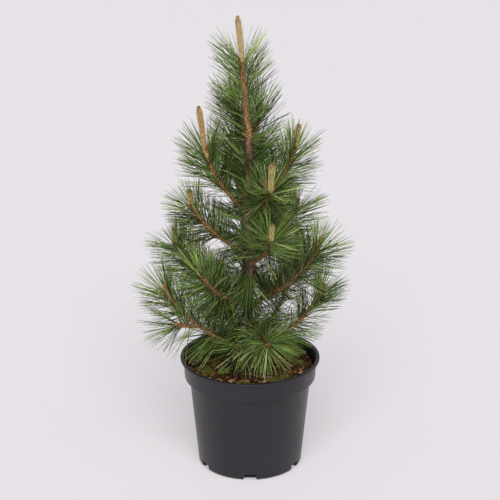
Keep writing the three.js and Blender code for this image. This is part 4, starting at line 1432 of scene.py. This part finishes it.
def scatter(number, edge, random):
    """Places spread evenly over the soil, clear of the trunk."""
    out = edge * np.sqrt(random.uniform(*SCATTER_RANGE, number))
    turn = random.uniform(0, 2 * np.pi, number)
    return out * np.cos(turn), out * np.sin(turn)


def add_chips(heap, x, y, length, width, thickness, turn, tilt, soil, random):
    """Flat broken chips with ragged ends that lie on the soil."""
    number = len(x)
    way = np.stack([
        np.cos(turn) * np.cos(tilt), np.sin(turn) * np.cos(tilt), np.sin(tilt)
    ], axis=-1)
    up = np.cross(unit(np.cross(way, np.array([0, 0, 1.0]))), way)
    up *= np.sign(up[:, 2:3])
    across = np.cross(up, way)
    base = on_soil(x, y, soil, thickness * 0.4)
    girth = random.uniform(0.7, 1.1, (number, 4)) * CHIP_TAPER
    aside = width[:, None] * random.uniform(-0.12, 0.12, (number, 4))
    centres = base[:, None] + way[:, None] * (length[:, None] * CHIP_RINGS)[..., None]
    centres = centres + across[:, None] * aside[..., None]
    first = up[:, None] * (thickness[:, None] * girth)[..., None] * 0.5
    second = across[:, None] * (width[:, None] * girth)[..., None] * -0.5
    relief = random.uniform(0.75, 1.2, (number, 4, 5))
    end = way * (0.5 * length)[:, None]
    add_spindles(heap, centres, first, second, base - end, base + end, 5, relief=relief)


def scatter_mulch(context):
    soil, edge = context.scene.pine_soil, soil_edge(context.scene.pine_pot)
    random = np.random.default_rng(SEEDS["mulch"])
    for kind, part in CHIP_KINDS.items():
        heap = Heap()
        number = int(soil.chips * part)
        x, y = scatter(number, edge, random)
        length = random.gamma(4, 1.0, number) * MM + CHIP_SHORTEST * MM
        width = length * random.uniform(*CHIP_WIDTHS, number)
        thickness = random.uniform(*CHIP_THICKNESSES, number) * MM
        turn = random.uniform(0, 2 * np.pi, number)
        tilt = random.normal(0, CHIP_TILT, number)
        add_chips(heap, x, y, length, width, thickness, turn, tilt, soil, random)
        if kind == "pale":
            add_front_chips(heap, soil, random)
        material = shaded_material(f"{kind} chip", "chip", getattr(soil, f"chip_{kind}"), 0.4)
        heap.piece(f"chips_{kind}", material, "soil", ["soil"], smooth=False)
    scatter_crumbs(soil, edge, random)
    scatter_moss(soil, edge, random)
    scatter_dry_needles(context, edge, random)


def add_front_chips(heap, soil, random):
    rows = np.array(FRONT_CHIPS, float)
    x, y, length, width = rows[:, :4].T * MM
    thickness = np.full(len(rows), FRONT_CHIP_THICKNESS)
    tilt = np.full(len(rows), FRONT_CHIP_TILT)
    turn = np.radians(rows[:, 4])
    add_chips(heap, x, y, length, width, thickness, turn, tilt, soil, random)


def scatter_crumbs(soil, edge, random):
    heap = Heap()
    number = soil.crumbs
    x, y = scatter(number, edge, random)
    length = random.uniform(*CRUMB_LENGTHS, number) * MM
    width = length * random.uniform(*CRUMB_WIDTHS, number)
    turn = random.uniform(0, 6.3, number)
    tilt = random.normal(0, CRUMB_TILT, number)
    add_chips(heap, x, y, length, width, length * CRUMB_THICKNESS, turn, tilt, soil, random)
    heap.piece("soil_crumbs", soil_material(soil), "soil", ["soil"])


def scatter_moss(soil, edge, random):
    """Cushions of small pointed moss leaves."""
    heaps = {True: Heap(), False: Heap()}
    for x, y, radius, part, bright in MOSS_PATCHES:
        number = int(soil.moss_blades * part)
        out = radius * MM * np.sqrt(random.uniform(0, 1, number)) * random.uniform(0.6, 1.15, number)
        turn = random.uniform(0, 2 * np.pi, number)
        px, py = x * MM + out * np.cos(turn), y * MM + out * np.sin(turn)
        inside = np.hypot(px, py) < edge - MM
        px, py, out = px[inside], py[inside], out[inside]
        number = len(px)
        dome = MOSS_DOME * np.clip(1 - (out / (radius * MM * MOSS_EDGE)) ** 2, 0, 1)
        foot = on_soil(px, py, soil, dome - MOSS_DEPTH)
        leans = [random.normal(0, 0.7, number) for _ in range(2)]
        lean = unit(np.stack([*leans, random.uniform(0.5, 1.2, number)], axis=-1))
        side = unit(np.cross(lean, random.normal(0, 1, (number, 3))))
        over = np.cross(lean, side)
        length = (random.uniform(*MOSS_LENGTHS, number) * MM)[:, None]
        half = (random.uniform(*MOSS_HALF_WIDTHS, number) * MM)[:, None]
        add_flakes(
            heaps[bright], foot + lean * length * MOSS_WIDEST, side * half,
            over * half * MOSS_FLATNESS, foot, foot + lean * length, 3, 0.5,
        )
    for bright, name in ((True, "bright"), (False, "dull")):
        material = shaded_material(f"moss {name}", "moss", getattr(soil, f"moss_{name}"), 0.5)
        heaps[bright].piece(f"moss_{name}", material, "soil", ["soil"])


def scatter_dry_needles(context, edge, random):
    """Old needles that have fallen on the soil."""
    soil, needles = context.scene.pine_soil, context.scene.pine_needles
    number = soil.dry_needles
    x, y = scatter(number, edge - FALLEN_INSET, random)
    turn = random.uniform(0, 2 * np.pi, number)
    way = np.stack([np.cos(turn), np.sin(turn), random.normal(0, 0.04, number)], axis=-1)
    length = random.uniform(*FALLEN_LENGTHS, number) * MM
    middle = on_soil(x, y, soil, FALLEN_HEIGHT)
    arch = np.stack([-way[:, 1], way[:, 0], np.zeros(number)], axis=-1)
    arch *= random.uniform(-FALLEN_ARCH, FALLEN_ARCH, (number, 1)) * MM
    heap = Heap()
    up = np.broadcast_to(np.array([0, 0, 1.0]), (number, 3))
    roots = middle - way * (length / 2)[:, None]
    width = needles.width * FALLEN_WIDTH
    add_needle(heap, roots, unit(way), up, length, arch, width, needles.thickness)
    material = shaded_material("fallen needle", "fallen needle", soil.straw, 0.6)
    heap.piece("fallen_needles", material, "soil", ["soil"])


def set_sockets(node, values):
    for socket, value in values.items():
        node.inputs[socket].default_value = value


def place_node(tree, kind, values=None):
    """Places a shader node in a tree and sets its sockets."""
    node = tree.nodes.new(f"ShaderNode{kind}")
    set_sockets(node, values or {})
    return node


def place_group(tree, group, **values):
    """Places a node group in a material with its own values."""
    node = place_node(tree, "Group")
    node.node_tree = group
    set_sockets(node, values)
    return node


def wire(tree, *joins):
    """Links sockets, each join given as a node and its output, then a node and its input."""
    for source, output, target, socket in joins:
        tree.links.new(source.outputs[output], target.inputs[socket])


def node_group(name, inputs, outputs):
    """A new, empty shader node group with named sockets, and its ends."""
    group = bpy.data.node_groups.new(name, "ShaderNodeTree")
    for socket, kind, default in inputs:
        made = group.interface.new_socket(name=socket, in_out="INPUT", socket_type=kind)
        if default is not None:
            made.default_value = default
    for socket, kind in outputs:
        group.interface.new_socket(name=socket, in_out="OUTPUT", socket_type=kind)
    return group, group.nodes.new("NodeGroupInput"), group.nodes.new("NodeGroupOutput")


def mottle_group():
    """Mottling: a light and a dark colour in lumps of a given scale."""
    if "mottle" in bpy.data.node_groups:
        return bpy.data.node_groups["mottle"]
    group, enter, leave = node_group(
        "mottle",
        [
            ("Light", "NodeSocketColor", None), ("Dark", "NodeSocketColor", None),
            ("Scale", "NodeSocketFloat", 100.0), ("Amount", "NodeSocketFloat", 1.0),
        ],
        [("Color", "NodeSocketColor"), ("Mask", "NodeSocketFloat")],
    )
    place = place_node(group, "TexCoord")
    noise = place_node(group, "TexNoise", {"Detail": 5, "Roughness": 0.62})
    spread = place_node(group, "MapRange", {"From Min": 0.36, "From Max": 0.64})
    amount = place_node(group, "Math")
    amount.operation = "MULTIPLY"
    blend = place_node(group, "Mix")
    blend.data_type = "RGBA"
    wire(
        group,
        (place, "Object", noise, "Vector"), (enter, "Scale", noise, "Scale"),
        (noise, "Fac", spread, "Value"), (spread, "Result", amount, 0),
        (enter, "Amount", amount, 1), (amount, "Value", blend, "Factor"),
        (enter, "Light", blend, "A"), (enter, "Dark", blend, "B"),
        (blend, "Result", leave, "Color"), (amount, "Value", leave, "Mask"),
    )
    return group


def grain_group():
    """Grain: a bumped normal from fine noise of a given scale and depth."""
    if "grain" in bpy.data.node_groups:
        return bpy.data.node_groups["grain"]
    group, enter, leave = node_group(
        "grain",
        [("Scale", "NodeSocketFloat", 800.0), ("Depth", "NodeSocketFloat", 0.0002)],
        [("Normal", "NodeSocketVector"), ("Height", "NodeSocketFloat")],
    )
    place = place_node(group, "TexCoord")
    noise = place_node(group, "TexNoise", {"Detail": 4})
    bump = place_node(group, "Bump", {"Strength": 1})
    wire(
        group,
        (place, "Object", noise, "Vector"), (enter, "Scale", noise, "Scale"),
        (noise, "Fac", bump, "Height"), (enter, "Depth", bump, "Distance"),
        (bump, "Normal", leave, "Normal"), (noise, "Fac", leave, "Height"),
    )
    return group


class Finish(NamedTuple):
    """A finish: lumps of mottling a metre, roughness, depth of grain in millimetres, and gloss."""

    scale: float
    roughness: float
    depth: float
    gloss: float = 0.5


FINISHES = {
    "old bark": Finish(220, 0.85, 0.6),
    "young bark": Finish(380, 0.75, 0.4),
    "needle base": Finish(300, 0.7, 0.3),
    "candle": Finish(330, 0.62, 0.12),
    "needle": Finish(60, 0.34, 0.05, 0.8),
    "sheath": Finish(400, 0.8, 0.2),
    "fallen needle": Finish(90, 0.6, 0.1),
    "moss": Finish(180, 0.7, 0.1),
    "chip": Finish(300, 0.85, 0.5, 0.2),
    "potting mix": Finish(240, 0.9, 0.8, 0.15),
}
# Needles: the tint of their gloss, and their dark colour as a share of the light one
NEEDLE_GLOSS = (1, 1, 0.35)
NEEDLE_SHADE = 0.72
# The pot's plastic: roughness, gloss, lumps of dust a metre and how strongly they show, and the
# grains of its skin a metre with their depth in millimetres
PLASTIC_ROUGHNESS = (0.36, 0.5)
PLASTIC_GLOSS = 0.42
PLASTIC_LUMPS = 14
PLASTIC_DUST = 0.5
PLASTIC_GRAINS = 1500
PLASTIC_GRAIN_DEPTH = 0.06
# The floor: roughness, lumps a metre, and how dark they are beside the rest
FLOOR_ROUGHNESS = 0.75
FLOOR_LUMPS = 0.4
FLOOR_MOTTLE = 0.97


def opaque(tint):
    return (*tint, 1.0)


def new_material(name, roughness):
    """A material, its node tree and its Principled shader."""
    material = bpy.data.materials.new(name)
    material.use_nodes = True
    tree = material.node_tree
    shader = tree.nodes["Principled BSDF"]
    shader.inputs["Roughness"].default_value = roughness
    return material, tree, shader


def mottled_material(name, finish, light, dark):
    """A mottled finish with fine grain, built the first time that its name is asked for."""
    if name in bpy.data.materials:
        return bpy.data.materials[name]
    scale, roughness, depth, gloss = FINISHES[finish]
    material, tree, shader = new_material(name, roughness)
    set_sockets(shader, {"Specular IOR Level": gloss})
    mottle = place_group(tree, mottle_group(), Light=opaque(light), Dark=opaque(dark), Scale=scale)
    grain = place_group(tree, grain_group(), Scale=3 * scale, Depth=depth * MM)
    wire(tree, (mottle, "Color", shader, "Base Color"), (grain, "Normal", shader, "Normal"))
    return material


def shaded_material(name, finish, tint, shade):
    """A mottled finish whose dark colour is its light one, shaded by a share."""
    return mottled_material(name, finish, tint, [shade * c for c in tint])


def needle_material(name, tint):
    """Waxy needles: a plain colour with a slight mottle and a soft gloss."""
    material = shaded_material(name, "needle", tint, NEEDLE_SHADE)
    shader = material.node_tree.nodes["Principled BSDF"]
    shader.inputs["Specular Tint"].default_value = opaque(NEEDLE_GLOSS)
    return material


def old_bark_material(bark):
    return mottled_material("old bark", "old bark", bark.old_light, bark.old_dark)


def young_bark_material(bark):
    return mottled_material("young bark", "young bark", bark.young_light, bark.young_dark)


def base_material(name, light, dark):
    return mottled_material(f"{name} needle base", "needle base", light, dark)


def soil_material(soil):
    return mottled_material("potting mix", "potting mix", soil.mix_light, soil.mix_dark)


def pot_material(pot):
    """Satin plastic with a fine moulded grain and faint dust."""
    material, tree, shader = new_material("pot plastic", 0.4)
    mottle = place_group(
        tree, mottle_group(), Light=opaque(pot.plastic), Dark=opaque(pot.worn),
        Scale=PLASTIC_LUMPS, Amount=PLASTIC_DUST,
    )
    grain = place_group(
        tree, grain_group(), Scale=PLASTIC_GRAINS, Depth=PLASTIC_GRAIN_DEPTH * MM
    )
    smoothest, roughest = PLASTIC_ROUGHNESS
    rough = place_node(tree, "MapRange", {"To Min": smoothest, "To Max": roughest})
    set_sockets(shader, {"Specular IOR Level": PLASTIC_GLOSS})
    wire(
        tree,
        (mottle, "Color", shader, "Base Color"), (mottle, "Mask", rough, "Value"),
        (rough, "Result", shader, "Roughness"), (grain, "Normal", shader, "Normal"),
    )
    return material


def floor_material(stage):
    """Pale matt acrylic that glows a little, as painted light that lifts the shadows round the pot."""
    material, tree, shader = new_material("studio floor", FLOOR_ROUGHNESS)
    # Painted light: the floor glows by this share of its light, and its own colour is dimmed by as
    # much
    set_sockets(
        shader, {"Emission Color": opaque(stage.floor), "Emission Strength": stage.glow}
    )
    tint = [(1 - stage.glow) * c for c in stage.floor]
    darker = [FLOOR_MOTTLE * c for c in tint]
    mottle = place_group(
        tree, mottle_group(), Light=opaque(tint), Dark=opaque(darker), Scale=FLOOR_LUMPS
    )
    wire(tree, (mottle, "Color", shader, "Base Color"))
    return material


# The camera's sensor, in millimetres
SENSOR_WIDTH = 36
# Heights in the room, as the sine of the angle above the horizon
WALL_TOP = 0.3
CEILING_FROM = 0.7
# The floor, and the two large soft lights, in metres
FLOOR_RADIUS = 14.0
FLOOR_SIDES = 96
KEY_PLACE = (-2.4, -1.2, 1.5)
FILL_PLACE = (2.4, -1.2, 1.4)
LIT_PLACE = (0, 0, 0.3)
LIGHT_WIDTH = 1.8


def build_stage(context):
    scene = context.scene
    stage = scene.pine_stage
    lens = bpy.data.cameras.new("camera")
    lens.lens = stage.lens
    lens.sensor_width = SENSOR_WIDTH
    camera = add_object("camera", lens)
    camera.location = camera_place(stage)
    camera.rotation_euler = (math.pi / 2 - stage.pitch, 0, 0)
    scene.camera = camera
    add_floor(stage)
    add_area_light("key light", stage.key, KEY_PLACE)
    add_area_light("fill light", stage.fill, FILL_PLACE)
    lamp = bpy.data.lights.new("overhead light", "SUN")
    lamp.energy = stage.sky
    lamp.angle = stage.sky_width
    add_object("overhead light", lamp).rotation_euler = (stage.sky_tilt, 0, 0)
    scene.world = studio_world(stage)
    scene.view_settings.view_transform = "Standard"


def studio_world(stage):
    """The room's light: bright pale walls round the horizon, and dimmer above."""
    world = bpy.data.worlds.new("studio")
    world.use_nodes = True
    tree = world.node_tree
    background = tree.nodes["Background"]
    set_sockets(background, {"Color": opaque(stage.room)})
    place = place_node(tree, "TexCoord")
    split = place_node(tree, "SeparateXYZ")
    fade = place_node(tree, "MapRange", {
        "From Min": WALL_TOP, "From Max": CEILING_FROM,
        "To Min": stage.horizon, "To Max": stage.ambient,
    })
    wire(
        tree,
        (place, "Generated", split, "Vector"), (split, "Z", fade, "Value"),
        (fade, "Result", background, "Strength"),
    )
    return world


def add_floor(stage):
    """A wide pale floor that fills the view from every side."""
    rim = ring_points(FLOOR_RADIUS, turns(FLOOR_SIDES), 0)
    mesh = bpy.data.meshes.new("studio_floor")
    mesh.from_pydata(rim.tolist(), [], [list(range(FLOOR_SIDES))])
    mesh.materials.append(floor_material(stage))
    floor = add_object("studio_floor", mesh)


def add_area_light(name, watts, place):
    """A large square light that shines on the plant."""
    lamp = bpy.data.lights.new(name, "AREA")
    lamp.energy = watts
    lamp.size = LIGHT_WIDTH
    light = add_object(name, lamp)
    light.location = place
    way = Vector(LIT_PLACE) - Vector(place)
    light.rotation_euler = way.to_track_quat("-Z", "Y").to_euler()


class PineOperator:
    """What the pine's operators share: each builds its pieces and reports that it is done."""

    bl_options = {"REGISTER", "UNDO"}

    def execute(self, context):
        self.build(context)
        return {"FINISHED"}


class PINE_OT_stage(PineOperator, bpy.types.Operator):
    """Set up the camera, the floor and the soft studio lights"""

    bl_idname = "pine.stage"
    bl_label = "Set up the stage"
    build = staticmethod(build_stage)


class PINE_OT_pot(PineOperator, bpy.types.Operator):
    """Build the nursery pot with its band, lip and slots"""

    bl_idname = "pine.pot"
    bl_label = "Build the pot"
    build = staticmethod(build_pot)


class PINE_OT_soil(PineOperator, bpy.types.Operator):
    """Fill the pot with crumbly potting mix"""

    bl_idname = "pine.soil"
    bl_label = "Fill in the soil"
    build = staticmethod(build_soil)


class PINE_OT_mulch(PineOperator, bpy.types.Operator):
    """Scatter bark chips, crumbs, moss and fallen needles on the soil"""

    bl_idname = "pine.mulch"
    bl_label = "Scatter the mulch"
    build = staticmethod(scatter_mulch)


class PINE_OT_trunk(PineOperator, bpy.types.Operator):
    """Grow the trunk with its bark and needle bases"""

    bl_idname = "pine.trunk"
    bl_label = "Grow the trunk"
    build = staticmethod(grow_trunk)


class PINE_OT_boughs(PineOperator, bpy.types.Operator):
    """Grow the boughs, shoots and twigs with their bark and needle bases"""

    bl_idname = "pine.boughs"
    bl_label = "Grow the boughs"
    build = staticmethod(grow_boughs)


class PINE_OT_candles(PineOperator, bpy.types.Operator):
    """Grow the candles and side buds with their scales"""

    bl_idname = "pine.candles"
    bl_label = "Grow the candles"
    build = staticmethod(grow_candles)


class PINE_OT_needles(PineOperator, bpy.types.Operator):
    """Grow the needles in pairs on every shoot"""

    bl_idname = "pine.needles"
    bl_label = "Grow the needles"
    build = staticmethod(grow_needles)


OPERATORS = [
    PINE_OT_stage, PINE_OT_pot, PINE_OT_soil, PINE_OT_mulch,
    PINE_OT_trunk, PINE_OT_boughs, PINE_OT_candles, PINE_OT_needles,
]


class PINE_PT_panel(bpy.types.Panel):
    """The pine's operators and settings in the 3D view's sidebar"""

    bl_label = "Potted pine"
    bl_idname = "PINE_PT_panel"
    bl_space_type = "VIEW_3D"
    bl_region_type = "UI"
    bl_category = "Pine"

    def draw(self, context):
        for operator in OPERATORS:
            self.layout.operator(operator.bl_idname)
        for name in SETTINGS:
            box = self.layout.box()
            settings = getattr(context.scene, name)
            for prop in settings.__annotations__:
                box.prop(settings, prop)


def register():
    for group in (*SETTINGS.values(), *OPERATORS, PINE_PT_panel):
        bpy.utils.register_class(group)
    for name, group in SETTINGS.items():
        setattr(bpy.types.Scene, name, PointerProperty(type=group))


def unregister():
    for name in SETTINGS:
        delattr(bpy.types.Scene, name)
    for group in (PINE_PT_panel, *reversed(OPERATORS), *SETTINGS.values()):
        bpy.utils.unregister_class(group)


def main():
    """Builds the stage and every piece."""
    register()
    bpy.ops.pine.stage()
    bpy.ops.pine.pot()
    bpy.ops.pine.soil()
    bpy.ops.pine.mulch()
    bpy.ops.pine.trunk()
    bpy.ops.pine.boughs()
    bpy.ops.pine.candles()
    bpy.ops.pine.needles()


if __name__ == "__main__":
    main()
